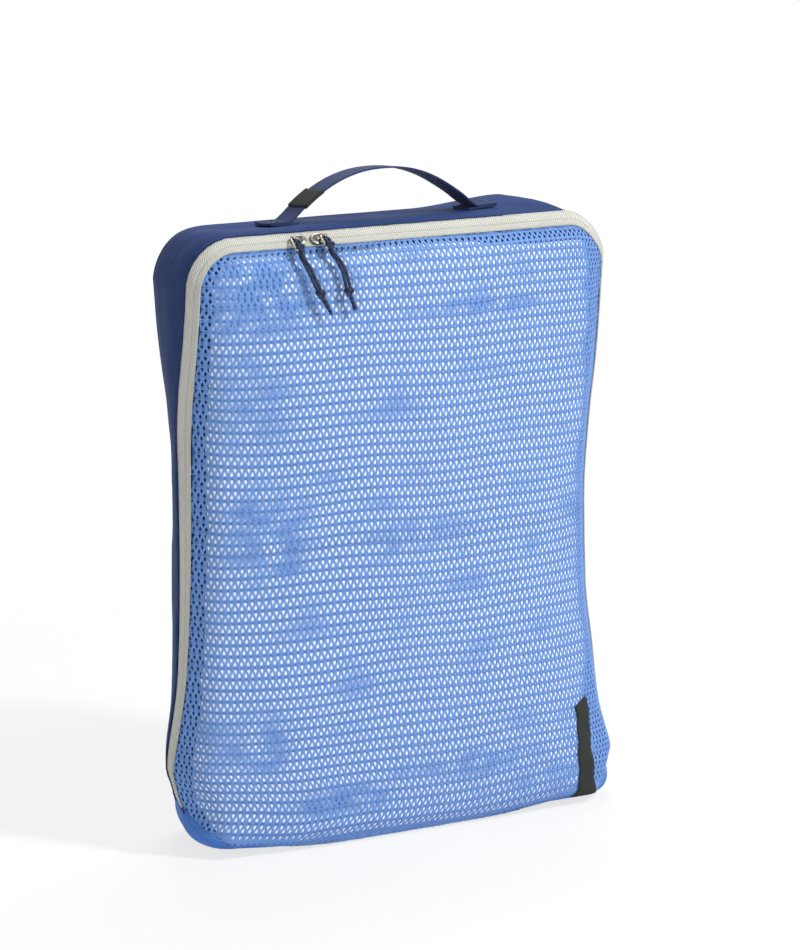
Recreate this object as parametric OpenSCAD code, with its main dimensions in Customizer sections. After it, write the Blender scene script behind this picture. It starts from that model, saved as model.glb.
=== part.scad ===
// Packing cube: a zipped cloth pouch with a net front, standing up and filled out.
// Millimetres, Z up, the net front faces -Y, the origin is under the middle of the foot.

/* [Body] */
// Width between the zip lines at the top corners
body_w = 330; // [290:1:370]
// Height from the floor to the top of the gusset
body_h = 451; // [400:1:500]
// Depth of the gusset at the top
body_d = 80; // [70:1:92]
// How far the sides draw in at the waist
waist = 2; // [0:0.5:6]
// How far the sides spread again at the foot
foot_flare = 20; // [12:0.5:26]
// How far the back panel draws in at the waist
back_waist = 18; // [10:0.5:22]
// Radius of the top corners
corner_r = 30; // [26:1:40]
// Radius of the bottom corners
foot_r = 34; // [28:1:40]
// How far the net front stands out from the top zip
front_crown = 14; // [8:0.5:22]
// How far the back panel stands out
back_crown = 8; // [4:0.5:14]
// How far back the zip lies at the waist
zip_recess = 23; // [16:0.5:28]
// Thickness of the cloth
cloth_t = 1.2; // [0.8:0.1:1.8]

/* [Net flap] */
// Gaps in one row of the net
net_cols = 15; // [11:2:15]
// Rows of gaps in the net
net_rows = 20; // [16:1:20]
// Share of a cell that its gap takes up
net_open = 0.84; // [0.6:0.02:0.88]
// Thickness of the net
net_t = 1.2; // [0.8:0.1:1.6]
// Width of the closed border round the net
net_border = 16; // [14:0.5:20]
// Radius of the rolled hem that the flap turns on
hem_r = 1.8; // [1.4:0.1:2.4]

/* [Zip] */
// Width of one tape that shows
tape_w = 7.5; // [7.2:0.1:9]
// Thickness of a tape
tape_t = 0.7; // [0.5:0.05:0.9]
// Width of one half of the coil
coil_w = 2; // [1.6:0.1:2.2]
// Height of the coil behind its tape
coil_h = 1.6; // [1.2:0.1:2]
// Open width between the two halves of the zip
zip_gap = 1.6; // [1.4:0.1:2]
// How far the top tape leans to the front, in degrees
top_tilt = 55; // [45:1:65]

/* [Sliders and pulls] */
// Where the left slider stands
left_slider_x = -85; // [-95:1:-82]
// Where the right slider stands
right_slider_x = -70; // [-70:1:-55]
// Length of a slider
slider_l = 11.4; // [10:0.1:12]
// Width of a slider
slider_w = 8.4; // [7.6:0.1:8.8]
// Thickness of the slider plates
plate_t = 1.2; // [1:0.1:1.5]
// Radius of the wire of the bails
wire_r = 0.7; // [0.6:0.05:0.8]
// Length of a bail
bail_l = 12; // [10:0.5:14]
// Radius of the pull cord
cord_r = 1.15; // [0.9:0.05:1.3]
// Radius of the knots
knot_r = 3.4; // [3:0.1:4]

/* [Handle] */
// Width of the webbing
strap_w = 25; // [20:0.5:30]
// Thickness of the webbing
strap_t = 1.8; // [1.4:0.1:2.4]
// Distance between the feet of the handle
handle_span = 146; // [120:1:170]
// Height of the handle over the top
handle_rise = 38; // [32:1:46]
// Length of the sewn-down ends
end_l = 18; // [14:1:24]

/* [Labels] */
// Width of the label on the net
label_w = 9; // [7:0.5:11]
// Length of the label on the net
label_l = 76; // [60:1:90]
// Length of the wrap round the handle
wrap_l = 18; // [12:1:20]

/* [Hidden] */
clear = 0.35;
seat = 0.1;
seam_gap = 0.35;
arc_n = 3;
side_n = net_rows - 2 * arc_n;
top_n = net_cols - 2 * arc_n;
depth_n = 6;
last_gusset = 18 + 2 * side_n + top_n;
rim_n = 24 + 2 * side_n + 2 * top_n;
hinge_y = -body_d / 2 - 6;
hinge_z = 6;
back_y = body_d / 2;
back_foot_z = 4;
top_bulge = 2;
foot_tilt = 8;
side_top_tilt = 36;
tilt_z = 60;
// Powers of the filled net front: 2 is an ellipse, more is flatter in the middle
side_round = 2.2;
low_side_round = 5;
round_z = 150;
top_round = 4;
foot_round = 6;
zip_z = body_h - top_bulge - tape_w * sin(top_tilt);
back_z = body_h - top_bulge;
zip_front_y = -body_d / 2 - 2;
waist_z = 0.6 * body_h;
crest_y = zip_front_y - tape_w * cos(top_tilt) - front_crown;
tape_in = zip_gap / 2;
bind_in = cloth_t * sin(top_tilt) + 0.3;
plate_z = tape_t / 2 + clear + plate_t;
pivot_n = plate_z + 1.1;
pivot_y = 1;
pivot_x = 1.6 - slider_l / 2;
bail_w = 5.2;
bail_lift = 20;
knuckle_l = 3;
lug_r = 1.5;
bore_r = wire_r + 0.25;
strap_y = 1;
strap_z = body_h + 0.2;
ply_t = 1.3;
half_span = handle_span / 2;
leg_in = 14;
leg_x = half_span - leg_in;
arch_z = strap_z + 2 * ply_t + 0.8;
label_x = body_w / 2 - 13;
label_z = 13;
// Centre of each pull cord from its slider, then of its knot and the tip of its tail
left_route = [[-3, -14, -9], [0, -15.5, -14], [3, -16.5, -19], [6, -17.5, -25]];
left_knot = [11, -19, -36];
left_tail = [20, -20, -51];
right_route = [[7, -14, -8], [12, -15.5, -13], [15, -16.5, -18], [17, -17.5, -24]];
right_knot = [19, -19, -35];
right_tail = [25, -20, -49];

$fn = 48;

function lerp(a, b, t) = a + (b - a) * t;
function smooth(t) = let (c = max(0, min(1, t))) c * c * (3 - 2 * c);
function unit(v) = v / norm(v);

// Half width of the zip line and of the back panel at a height
function zip_x(z) =
    body_w / 2 - waist
    + waist * pow(max(0, (z - waist_z) / (zip_z - waist_z)), 2)
    + foot_flare * pow(max(0, (waist_z - z) / waist_z), 2.5);
function back_x(z) =
    body_w / 2 - 2 - back_waist
    + back_waist * pow(max(0, (z - waist_z) / (back_z - waist_z)), 2)
    + 0.4 * back_waist * pow(max(0, (waist_z - z) / waist_z), 2);
// Depth of the zip line at a height
function zip_y(z) =
    zip_front_y + zip_recess * (1 - smooth((z - 0.64 * body_h) / (zip_z - 0.64 * body_h)))
    + 8 * smooth((0.3 * body_h - z) / (0.16 * body_h));

// Stations round a rim from the middle of the lower left corner: x, z, outward x and z, share of foot
function rim(fx, top, bot, rt, rb) =
    let (zl = bot + rb, zh = top - rt, cb = fx(zl) - rb, ct = fx(zh) - rt, step = 45 / arc_n)
    concat(
        [for (i = [0:arc_n - 1]) let (a = 45 - step * i)
            [-cb - rb * cos(a), zl - rb * sin(a), -cos(a), -sin(a), a / 90]],
        [for (i = [0:side_n]) let (z = lerp(zl, zh, i / side_n)) [-fx(z), z, -1, 0, 0]],
        [for (i = [1:2 * arc_n - 1]) let (a = step * i)
            [-ct - rt * cos(a), zh + rt * sin(a), -cos(a), sin(a), 0]],
        [for (i = [0:top_n]) [lerp(-ct, ct, i / top_n), top, 0, 1, 0]],
        [for (i = [1:2 * arc_n - 1]) let (a = 90 - step * i)
            [ct + rt * cos(a), zh + rt * sin(a), cos(a), sin(a), 0]],
        [for (i = [0:side_n]) let (z = lerp(zh, zl, i / side_n)) [fx(z), z, 1, 0, 0]],
        [for (i = [1:2 * arc_n - 1]) let (a = step * i)
            [cb + rb * cos(a), zl - rb * sin(a), cos(a), -sin(a), a / 90]],
        [for (i = [0:top_n]) [lerp(cb, -cb, i / top_n), bot, 0, -1, 1]],
        [for (i = [1:arc_n - 1]) let (a = 90 - step * i)
            [-cb - rb * cos(a), zl - rb * sin(a), -cos(a), -sin(a), a / 90]]
    );

front_rim = rim(function(z) zip_x(z), zip_z, hinge_z, corner_r, foot_r);
back_rim = rim(function(z) back_x(z), back_z, back_foot_z, corner_r + 8, foot_r - 2);

function side_tilt(z) = lerp(foot_tilt, side_top_tilt, smooth((z - tilt_z) / (zip_z - tilt_z)));
function tilt(s) = s[3] > 0 ? lerp(side_tilt(s[1]), top_tilt, s[3]) : side_tilt(s[1]);
function front_y(s) =
    s[4] > 0 ? lerp(zip_y(hinge_z + foot_r), hinge_y, smooth(s[4])) : zip_y(s[1]);
function place(s, y, o, d) = [s[0] + o * s[2], y + d, s[1] + o * s[3]];

// A point across the zip at a station: a runs towards the flap, b outwards
function across(i, a, b) =
    let (s = front_rim[i % rim_n], t = tilt(s))
    place(s, front_y(s), -a * sin(t) + b * cos(t), -a * cos(t) - b * sin(t));
function foot_share(s) = smooth((s[4] - 1 / 6) * 2.4);
function flap_edge(i, b) =
    let (s = front_rim[i % rim_n], y = front_y(s))
    lerp(across(i, tape_w + 0.2, b), place(s, y, -hem_r - clear, -1 - b), foot_share(s));
function gusset_edge(i) =
    let (s = front_rim[i % rim_n], y = front_y(s))
    lerp(across(i, -tape_w - seam_gap, -tape_t / 2), place(s, y, 0, hem_r + 0.1), foot_share(s));
function back_edge(i) = let (s = back_rim[i % rim_n]) [s[0], back_y, s[1]];

// Gusset and bottom between the two rims, k from front to back
depth_share = [0, 0.07, 0.3, 0.5, 0.7, 0.93, 1];
bulge_share = [0, 0.4, 1, 1, 1, 0.4, 0];
function wall(i, k, inward) =
    let (
        s = front_rim[i % rim_n],
        b = back_rim[i % rim_n],
        f = gusset_edge(i),
        e = back_edge(i),
        p = lerp(f, e, depth_share[k]),
        n = unit([s[2] + b[2], 0, s[3] + b[3]]),
        down = k == 0 || k == depth_n ? 0 : p[2],
        o = lerp(top_bulge * bulge_share[k], down, smooth(s[4]))
    )
    p + (o - inward) * n;

// Depth of the net front
function flap_x(z) = zip_x(z) - tape_w * sin(side_tilt(z));
function flap_side_y(z) = zip_y(z) - tape_w * cos(side_tilt(z));
function centre_y(z) =
    let (
        mid = 0.5 * body_h,
        t = z > mid ? (z - mid) / (zip_z - mid) : (mid - z) / (mid - hinge_z),
        c = min(1, max(0, t)),
        edge = z > mid ? zip_front_y - tape_w * cos(top_tilt) : hinge_y - 1
    )
    lerp(edge, crest_y, sqrt(max(0, 1 - pow(c, z > mid ? top_round : foot_round))));
function net_y(x, z) =
    let (u = min(1, abs(x) / flap_x(z)), side = flap_side_y(z), mid = min(side, centre_y(z)))
    lerp(side, mid, sqrt(max(0, 1 - pow(u, lerp(low_side_round, side_round, smooth(z / round_z))))));
function net_out(x, z) =
    unit([(net_y(x + 1, z) - net_y(x - 1, z)) / 2, -1, (net_y(x, z + 1) - net_y(x, z - 1)) / 2]);
net_bot = hinge_z + net_border;
net_top = zip_z - tape_w * sin(top_tilt) - net_border;
function net_point(u, v, in) =
    let (z = lerp(net_bot, net_top, v), x = (2 * u - 1) * (flap_x(z) - net_border))
    [x, net_y(x, z), z] - in * net_out(x, z);
// Cell corner on the edge of the net that faces a rim station
function net_edge(i, in) =
    i <= net_rows ? net_point(0, i / net_rows, in)
    : i <= net_rows + net_cols ? net_point((i - net_rows) / net_cols, 1, in)
    : i <= 2 * net_rows + net_cols ? net_point(1, 1 - (i - net_rows - net_cols) / net_rows, in)
    : net_point(1 - (i - 2 * net_rows - net_cols) / net_cols, 0, in);
function net_mid(i, in) =
    let (
        r = flap_edge(i, 0),
        e = net_edge(i, 0),
        n = unit((flap_edge(i, 1) - r) + (e - net_edge(i, 1)))
    )
    [lerp(r[0], e[0], 0.4), lerp(r[1], e[1], 0.68), lerp(r[2], e[2], 0.4)] - in * n;

// A closed sheet between two grids of points; loop joins its last row to its first
module sheet(outer, inner, loop = false) {
    n = len(outer);
    m = len(outer[0]);
    rows = loop ? n : n - 1;
    pts = concat([for (r = outer) each r], [for (r = inner) each r]);
    back = n * m;
    polyhedron(pts, concat(
        [for (i = [0:rows - 1], k = [0:m - 2]) let (j = (i + 1) % n)
            each [[i * m + k, i * m + k + 1, j * m + k + 1], [i * m + k, j * m + k + 1, j * m + k]]],
        [for (i = [0:rows - 1], k = [0:m - 2]) let (j = (i + 1) % n)
            each [[back + i * m + k, back + j * m + k + 1, back + i * m + k + 1],
                [back + i * m + k, back + j * m + k, back + j * m + k + 1]]],
        [for (i = [0:rows - 1], k = [0, m - 1]) let (j = (i + 1) % n, p = k == 0 ? [i, j] : [j, i])
            each [[p[0] * m + k, p[1] * m + k, back + p[1] * m + k],
                [p[0] * m + k, back + p[1] * m + k, back + p[0] * m + k]]],
        loop ? [] : [for (i = [0, n - 1], k = [0:m - 2]) let (q = i == 0 ? [k + 1, k] : [k, k + 1])
            each [[i * m + q[0], i * m + q[1], back + i * m + q[1]],
                [i * m + q[0], back + i * m + q[1], back + i * m + q[0]]]]
    ), convexity = 10);
}

// A strip of rectangular section along the zip, from a0 to a1 across and b0 to b1 through
module zip_strip(first, last, a0, a1, b0, b1) {
    sheet(
        [for (i = [first:last]) [across(i, a1, b1), across(i, a0, b1)]],
        [for (i = [first:last]) [across(i, a1, b0), across(i, a0, b0)]]
    );
}

// A round tube along a line of points
module tube(line, r, sides = 8) {
    n = len(line);
    ring = [for (i = [0:n - 1])
        let (
            d = unit(line[min(n - 1, i + 1)] - line[max(0, i - 1)]),
            u = unit(cross(d, [1, 0, 0])),
            v = cross(d, u)
        )
        [for (k = [0:sides - 1]) line[i] + r * (cos(360 * k / sides) * u + sin(360 * k / sides) * v)]];
    pts = [for (r = ring) each r];
    polyhedron(pts, concat(
        [[for (k = [0:sides - 1]) k]],
        [for (i = [0:n - 2], k = [0:sides - 1]) let (j = (k + 1) % sides)
            each [[i * sides + k, (i + 1) * sides + k, (i + 1) * sides + j],
                [i * sides + k, (i + 1) * sides + j, i * sides + j]]],
        [[for (k = [sides - 1:-1:0]) (n - 1) * sides + k]]
    ), convexity = 6);
}

// A dished panel between two sets of rings that run round and close on a middle point each
module dish(outer, inner, middle) {
    n = len(outer);
    m = len(outer[0]);
    pts = concat([for (r = outer) each r], [for (r = inner) each r], middle);
    back = n * m;
    polyhedron(pts, concat(
        [for (i = [0:n - 1], k = [0:m - 2]) let (j = (i + 1) % n)
            each [[i * m + k, i * m + k + 1, j * m + k + 1], [i * m + k, j * m + k + 1, j * m + k]]],
        [for (i = [0:n - 1], k = [0:m - 2]) let (j = (i + 1) % n)
            each [[back + i * m + k, back + j * m + k + 1, back + i * m + k + 1],
                [back + i * m + k, back + j * m + k, back + j * m + k + 1]]],
        [for (i = [0:n - 1]) let (j = (i + 1) % n)
            each [[i * m, j * m, back + j * m], [i * m, back + j * m, back + i * m]]],
        [for (i = [0:n - 1]) let (j = (i + 1) % n)
            each [[i * m + m - 1, 2 * back, j * m + m - 1],
                [back + j * m + m - 1, 2 * back + 1, back + i * m + m - 1]]]
    ), convexity = 10);
}

// Arch of the handle
function arch(x) = arch_z + (handle_rise - 5) * (1 - pow(abs(x) / half_span, 2.2));
function arch_up(x) = unit([(arch(x - 0.5) - arch(x + 0.5)), 0, 1]);
module strap(x0, x1, steps, half_w, half_t) {
    sheet(
        [for (i = [0:steps])
            let (x = lerp(x0, x1, i / steps), p = [x, strap_y, arch(x)] + half_t * arch_up(x))
            [p - [0, half_w, 0], p + [0, half_w, 0]]],
        [for (i = [0:steps])
            let (x = lerp(x0, x1, i / steps), p = [x, strap_y, arch(x)] - half_t * arch_up(x))
            [p - [0, half_w, 0], p + [0, half_w, 0]]]
    );
}

function back_point(s, r, out) =
    let (
        mid = body_h / 2,
        x = s[0] * r,
        z = mid + (s[1] - mid) * r,
        u = min(1, abs(x) / back_x(z)),
        v = min(1, abs(z - mid) / (back_z - mid))
    )
    [x, back_y + 0.1 + out + back_crown * (1 - pow(u, 4)) * (1 - pow(v, 4)), z];

module back_panel() {
    shares = [1, 0.94, 0.84, 0.7, 0.5, 0.28, 0.1];
    color([0.15, 0.21, 0.4])
        dish(
            [for (s = back_rim) [for (r = shares) back_point(s, r, cloth_t)]],
            [for (s = back_rim) [for (r = shares) back_point(s, r, 0)]],
            [back_point(back_rim[0], 0, cloth_t), back_point(back_rim[0], 0, 0)]
        );
}

module gusset() {
    color([0.15, 0.21, 0.4])
        sheet(
            [for (i = [0:last_gusset]) [for (k = [0:depth_n]) wall(i, k, 0)]],
            [for (i = [0:last_gusset]) [for (k = [0:depth_n]) wall(i, k, cloth_t)]]
        );
}

module bottom_panel() {
    color([0.3, 0.47, 0.78])
        sheet(
            [for (i = [last_gusset:rim_n]) [for (k = [0:depth_n]) wall(i, k, 0)]],
            [for (i = [last_gusset:rim_n]) [for (k = [0:depth_n]) wall(i, k, cloth_t)]]
        );
}

module back_seam_binding() {
    in = cloth_t + 0.5;
    color([0.1, 0.13, 0.25])
        sheet(
            [for (s = back_rim) [place(s, back_y, -in, -1.6), place(s, back_y, -in, -0.3)]],
            [for (s = back_rim) [place(s, back_y, -in - 4, -1.6), place(s, back_y, -in - 4, -0.3)]],
            loop = true
        );
}

module gusset_seam_binding() {
    color([0.1, 0.13, 0.25])
        zip_strip(2, last_gusset - 2, bind_in - tape_w, -slider_w / 2 - 0.7,
            -tape_t / 2 - 1.2, -tape_t / 2 - 0.15);
}

module gusset_zip_tape() {
    color([0.83, 0.83, 0.78])
        zip_strip(2, last_gusset - 2, -tape_w, -tape_in, -tape_t / 2, tape_t / 2);
}

module gusset_zip_coil() {
    color([0.72, 0.72, 0.68])
        zip_strip(2, last_gusset - 2, -tape_in - coil_w, -tape_in,
            -tape_t / 2 - coil_h, -tape_t / 2 - seat);
}

module hinge_hem() {
    half = zip_x(hinge_z + foot_r) - foot_r;
    color([0.24, 0.4, 0.7])
        translate([-half, hinge_y, hinge_z])
            rotate([0, 90, 0])
                cylinder(r = hem_r, h = 2 * half);
}

module zip_end_stops() {
    ends = [[2, 1], [last_gusset - 2, last_gusset - 1]];
    color([0.1, 0.13, 0.25])
        for (e = ends) {
            order = e[0] > e[1] ? [0.5, 0.08] : [0.08, 0.5];
            sheet(
                [for (t = order) [for (a = [-tape_in, -tape_in - coil_w])
                    lerp(across(e[0], a, tape_t / 2), across(e[1], a, tape_t / 2), t)]],
                [for (t = order) [for (a = [-tape_in, -tape_in - coil_w])
                    lerp(across(e[0], a, -tape_t / 2 - coil_h), across(e[1], a, -tape_t / 2 - coil_h), t)]]
            );
        }
}

// One sewn-down end of the webbing: the lower ply runs on past the fold
module handle_end() {
    translate([half_span - 4, strap_y - strap_w / 2, strap_z])
        cube([end_l + 4, strap_w, ply_t]);
    translate([half_span, strap_y - strap_w / 2, strap_z + ply_t])
        cube([end_l, strap_w, ply_t]);
}

module handle_end_left() {
    color([0.2, 0.26, 0.42])
        mirror([1, 0, 0])
            handle_end();
}

module handle_end_right() {
    color([0.2, 0.26, 0.42])
        handle_end();
}

module handle_stitching() {
    color([0.12, 0.16, 0.3])
        for (s = [-1, 1], x = [half_span + 6, half_span + end_l - 3])
            translate([s * x - 1, strap_y - 0.4 * strap_w, strap_z + 2 * ply_t])
                cube([2, 0.8 * strap_w, 0.5]);
}

module handle_leg_left() {
    color([0.2, 0.26, 0.42])
        strap(-half_span, -leg_x, 4, strap_w / 2, strap_t / 2);
}

module handle_leg_right() {
    color([0.2, 0.26, 0.42])
        strap(leg_x, half_span, 4, strap_w / 2, strap_t / 2);
}

module handle_grip() {
    color([0.2, 0.26, 0.42])
        strap(0.3 - leg_x, leg_x - 0.3, 22, strap_w / 2, strap_t / 2);
}

module handle_label() {
    x0 = 2 - leg_x;
    x1 = x0 + 0.8 * wrap_l;
    color([0.1, 0.1, 0.1])
        difference() {
            strap(x0, x1, 6, strap_w / 2 + 1, strap_t / 2 + 1);
            strap(x0 - 1, x1 + 1, 8, strap_w / 2 + 0.2, strap_t / 2 + 0.2);
        }
}

// The net: cells with a four-sided gap each, then two rings of closed border out to the rim
module net_panel() {
    across_n = net_cols + 1;
    grid_n = across_n * (net_rows + 1);
    hole_n = 4 * net_cols * net_rows;
    layer = grid_n + hole_n + 2 * rim_n;
    h = net_open / 2;
    spots = [[-h, 0], [0, -h], [h, 0], [0, h]];
    points = [for (in = [0, net_t]) each concat(
        [for (r = [0:net_rows], c = [0:net_cols]) net_point(c / net_cols, r / net_rows, in)],
        [for (r = [0:net_rows - 1], c = [0:net_cols - 1], q = spots)
            net_point((c + 0.5 + q[0]) / net_cols, (r + 0.5 + q[1]) / net_rows, in)],
        [for (i = [0:rim_n - 1]) net_mid(i, in)],
        [for (i = [0:rim_n - 1]) flap_edge(i, -in)]
    )];
    edge = [for (i = [0:rim_n - 1])
        i <= net_rows ? i * across_n
        : i <= net_rows + net_cols ? net_rows * across_n + i - net_rows
        : i <= 2 * net_rows + net_cols ? (2 * net_rows + net_cols - i) * across_n + net_cols
        : 2 * net_rows + 2 * net_cols - i];
    mid = grid_n + hole_n;
    rim = mid + rim_n;
    face = concat(
        [for (r = [0:net_rows - 1], c = [0:net_cols - 1])
            let (
                a = r * across_n + c,
                b = a + 1,
                d = a + across_n,
                e = d + 1,
                g = grid_n + 4 * (r * net_cols + c)
            )
            each [[a, b, g + 1], [b, e, g + 2], [e, d, g + 3], [d, a, g],
                [a, g + 1, g], [b, g + 2, g + 1], [e, g + 3, g + 2], [d, g, g + 3]]],
        [for (i = [0:rim_n - 1]) let (j = (i + 1) % rim_n)
            each [[mid + i, edge[i], edge[j]], [mid + i, edge[j], mid + j],
                [rim + i, mid + i, mid + j], [rim + i, mid + j, rim + j]]]
    );
    walls = concat(
        [for (k = [0:net_cols * net_rows - 1], q = [0:3])
            let (p = grid_n + 4 * k + (q + 1) % 4, o = grid_n + 4 * k + q)
            each [[p, o, o + layer], [p, o + layer, p + layer]]],
        [for (i = [0:rim_n - 1]) let (j = (i + 1) % rim_n)
            each [[rim + j, rim + i, rim + i + layer], [rim + j, rim + i + layer, rim + j + layer]]]
    );
    color([0.36, 0.55, 0.87])
        polyhedron(points, concat(
            [for (f = face) [f[2], f[1], f[0]]],
            [for (f = face) [f[0] + layer, f[1] + layer, f[2] + layer]],
            walls
        ), convexity = 12);
}

module flap_zip_tape() {
    color([0.83, 0.83, 0.78])
        zip_strip(2, last_gusset - 2, tape_in, tape_w, -tape_t / 2, tape_t / 2);
}

module flap_zip_coil() {
    color([0.72, 0.72, 0.68])
        zip_strip(2, last_gusset - 2, tape_in, tape_in + coil_w,
            -tape_t / 2 - coil_h, -tape_t / 2 - seat);
}

module flap_seam_binding() {
    color([0.1, 0.13, 0.25])
        zip_strip(2, last_gusset - 2, slider_w / 2 + 0.7, tape_w - 0.2,
            -tape_t / 2 - 1.2, -tape_t / 2 - 0.15);
}

module front_label() {
    rows = 8;
    color([0.1, 0.1, 0.1])
        sheet(
            [for (i = [0:rows]) let (z = label_z + label_l * i / rows) [for (k = [0:2])
                let (x = label_x + label_w * (0.5 - k / 2)) [x, net_y(x, z), z] + 1.3 * net_out(x, z)]],
            [for (i = [0:rows]) let (z = label_z + label_l * i / rows) [for (k = [0:2])
                let (x = label_x + label_w * (0.5 - k / 2)) [x, net_y(x, z), z] + 0.5 * net_out(x, z)]]
        );
}

// The frame of a slider: x along the zip, y away from the flap, z outwards
module at_slider(x) {
    translate([x, zip_y(zip_z), zip_z])
        rotate([top_tilt, 0, 0])
            children();
}

module slider_plate(z) {
    reach = (slider_l - slider_w) / 2;
    translate([-reach, -slider_w / 2, z])
        cube([2 * reach, slider_w, plate_t]);
    for (s = [-1, 1])
        translate([s * reach, 0, z])
            cylinder(d = slider_w, h = plate_t);
}

// Two plates joined by the neck at the nose, flanges behind the tapes, a guard ring and a knuckle
module slider() {
    low = -tape_t / 2 - coil_h - clear;
    neck = tape_in - clear;
    difference() {
        union() {
            slider_plate(tape_t / 2 + clear);
            slider_plate(low - plate_t);
            translate([slider_l / 2 - 3.6, -neck, low - plate_t / 2])
                cube([3, 2 * neck, plate_z - low]);
            for (s = [-1, 1])
                translate([-2.2, s * (slider_w / 2 - 0.55) - 0.55, low - plate_t / 2])
                    cube([4.4, 1.1, coil_h + plate_t / 2]);
            translate([slider_l / 2 - 3.5, 0, plate_z + 0.5])
                rotate_extrude()
                    translate([1.9, 0])
                        circle(r = 0.8);
            translate([pivot_x - knuckle_l / 2, pivot_y, pivot_n])
                rotate([0, 90, 0])
                    cylinder(r = lug_r, h = knuckle_l);
            translate([pivot_x - knuckle_l / 2, pivot_y - lug_r, plate_z - plate_t / 2])
                cube([knuckle_l, 2 * lug_r, pivot_n - plate_z + plate_t / 2]);
        }
        translate([pivot_x - knuckle_l, pivot_y, pivot_n])
            rotate([0, 90, 0])
                cylinder(r = bore_r, h = 2 * knuckle_l);
    }
}

module left_slider() {
    color([0.42, 0.42, 0.42])
        at_slider(left_slider_x)
            slider();
}

module right_slider() {
    color([0.42, 0.42, 0.42])
        at_slider(right_slider_x)
            mirror([1, 0, 0])
                slider();
}

// A wire loop: its upper bar turns in the knuckle, its lower bar carries the cord
module bail() {
    translate([pivot_x, pivot_y, pivot_n])
        rotate([-bail_lift, 0, 0]) {
            for (y = [0, -bail_l])
                translate([-bail_w / 2, y, 0])
                    rotate([0, 90, 0])
                        cylinder(r = wire_r, h = bail_w);
            for (s = [-1, 1])
                translate([s * bail_w / 2, 0, 0])
                    rotate([90, 0, 0])
                        cylinder(r = wire_r, h = bail_l);
            for (s = [-1, 1], y = [0, -bail_l])
                translate([s * bail_w / 2, y, 0])
                    sphere(r = wire_r);
        }
}

module left_bail() {
    color([0.6, 0.6, 0.6])
        at_slider(left_slider_x)
            bail();
}

module right_bail() {
    color([0.6, 0.6, 0.6])
        at_slider(right_slider_x)
            mirror([1, 0, 0])
                bail();
}

// A doubled cord: up from the knot in front of the bail's lower bar, over it and down behind
module pull_cord(x, side, route, knot) {
    from = [x, zip_y(zip_z), zip_z];
    y = pivot_y - bail_l * cos(bail_lift);
    n = pivot_n + bail_l * sin(bail_lift);
    c = cos(top_tilt);
    s = sin(top_tilt);
    bar = from + [side * pivot_x, y * c - n * s, y * s + n * c];
    wide = wire_r + clear + cord_r;
    end = knot + (knot_r + 0.25) * unit(route[len(route) - 1] - knot);
    centre = [for (p = concat(route, [end])) from + p];
    apart = [for (i = [0:len(centre) - 1]) lerp(wide, cord_r + 0.2, min(1, (i + 1) / 3))];
    count = len(centre);
    tube(concat(
        [for (i = [count - 1:-1:0]) centre[i] - [0, apart[i], 0]],
        [for (a = [0:30:180]) bar + wide * [0, -cos(a), sin(a)]],
        [for (i = [0:count - 1]) centre[i] + [0, apart[i], 0]]
    ), cord_r);
}

// The overhand knot and the fused tail under it, turned as one profile
module cord_knot(x, knot, tail) {
    from = [x, zip_y(zip_z), zip_z];
    way = tail - knot;
    tail_l = norm(way);
    steps = 8;
    top = 90 - asin(1.5 * cord_r / knot_r);
    translate(from + knot)
        rotate([0, acos(way[2] / tail_l), atan2(way[1], way[0])])
            rotate_extrude()
                polygon(concat(
                    [[0, -knot_r]],
                    [for (i = [1:steps]) let (a = lerp(-90, top, i / steps)) knot_r * [cos(a), sin(a)]],
                    [[1.2 * cord_r, tail_l], [0, tail_l]]
                ));
}

module left_pull_cord() {
    color([0.13, 0.16, 0.27])
        pull_cord(left_slider_x, 1, left_route, left_knot);
}

module right_pull_cord() {
    color([0.13, 0.16, 0.27])
        pull_cord(right_slider_x, -1, right_route, right_knot);
}

module left_cord_knot() {
    color([0.13, 0.16, 0.27])
        cord_knot(left_slider_x, left_knot, left_tail);
}

module right_cord_knot() {
    color([0.13, 0.16, 0.27])
        cord_knot(right_slider_x, right_knot, right_tail);
}

back_panel();
gusset();
bottom_panel();
back_seam_binding();
gusset_seam_binding();
gusset_zip_tape();
gusset_zip_coil();
hinge_hem();
zip_end_stops();
handle_end_left();
handle_end_right();
handle_stitching();
handle_leg_left();
handle_leg_right();
handle_grip();
handle_label();
net_panel();
flap_zip_tape();
flap_zip_coil();
flap_seam_binding();
front_label();
left_slider();
right_slider();
left_bail();
right_bail();
left_pull_cord();
right_pull_cord();
left_cord_knot();
right_cord_knot();
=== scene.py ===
"""Looks of the packing cube: cloth, net, zip, sliders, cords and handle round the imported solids.

Every shape is worked out in millimetres in the frame of the solids and scaled once, in make_piece.
"""

import math
from collections import namedtuple

import bmesh
import bpy
from mathutils import Matrix, Vector, kdtree, noise


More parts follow.
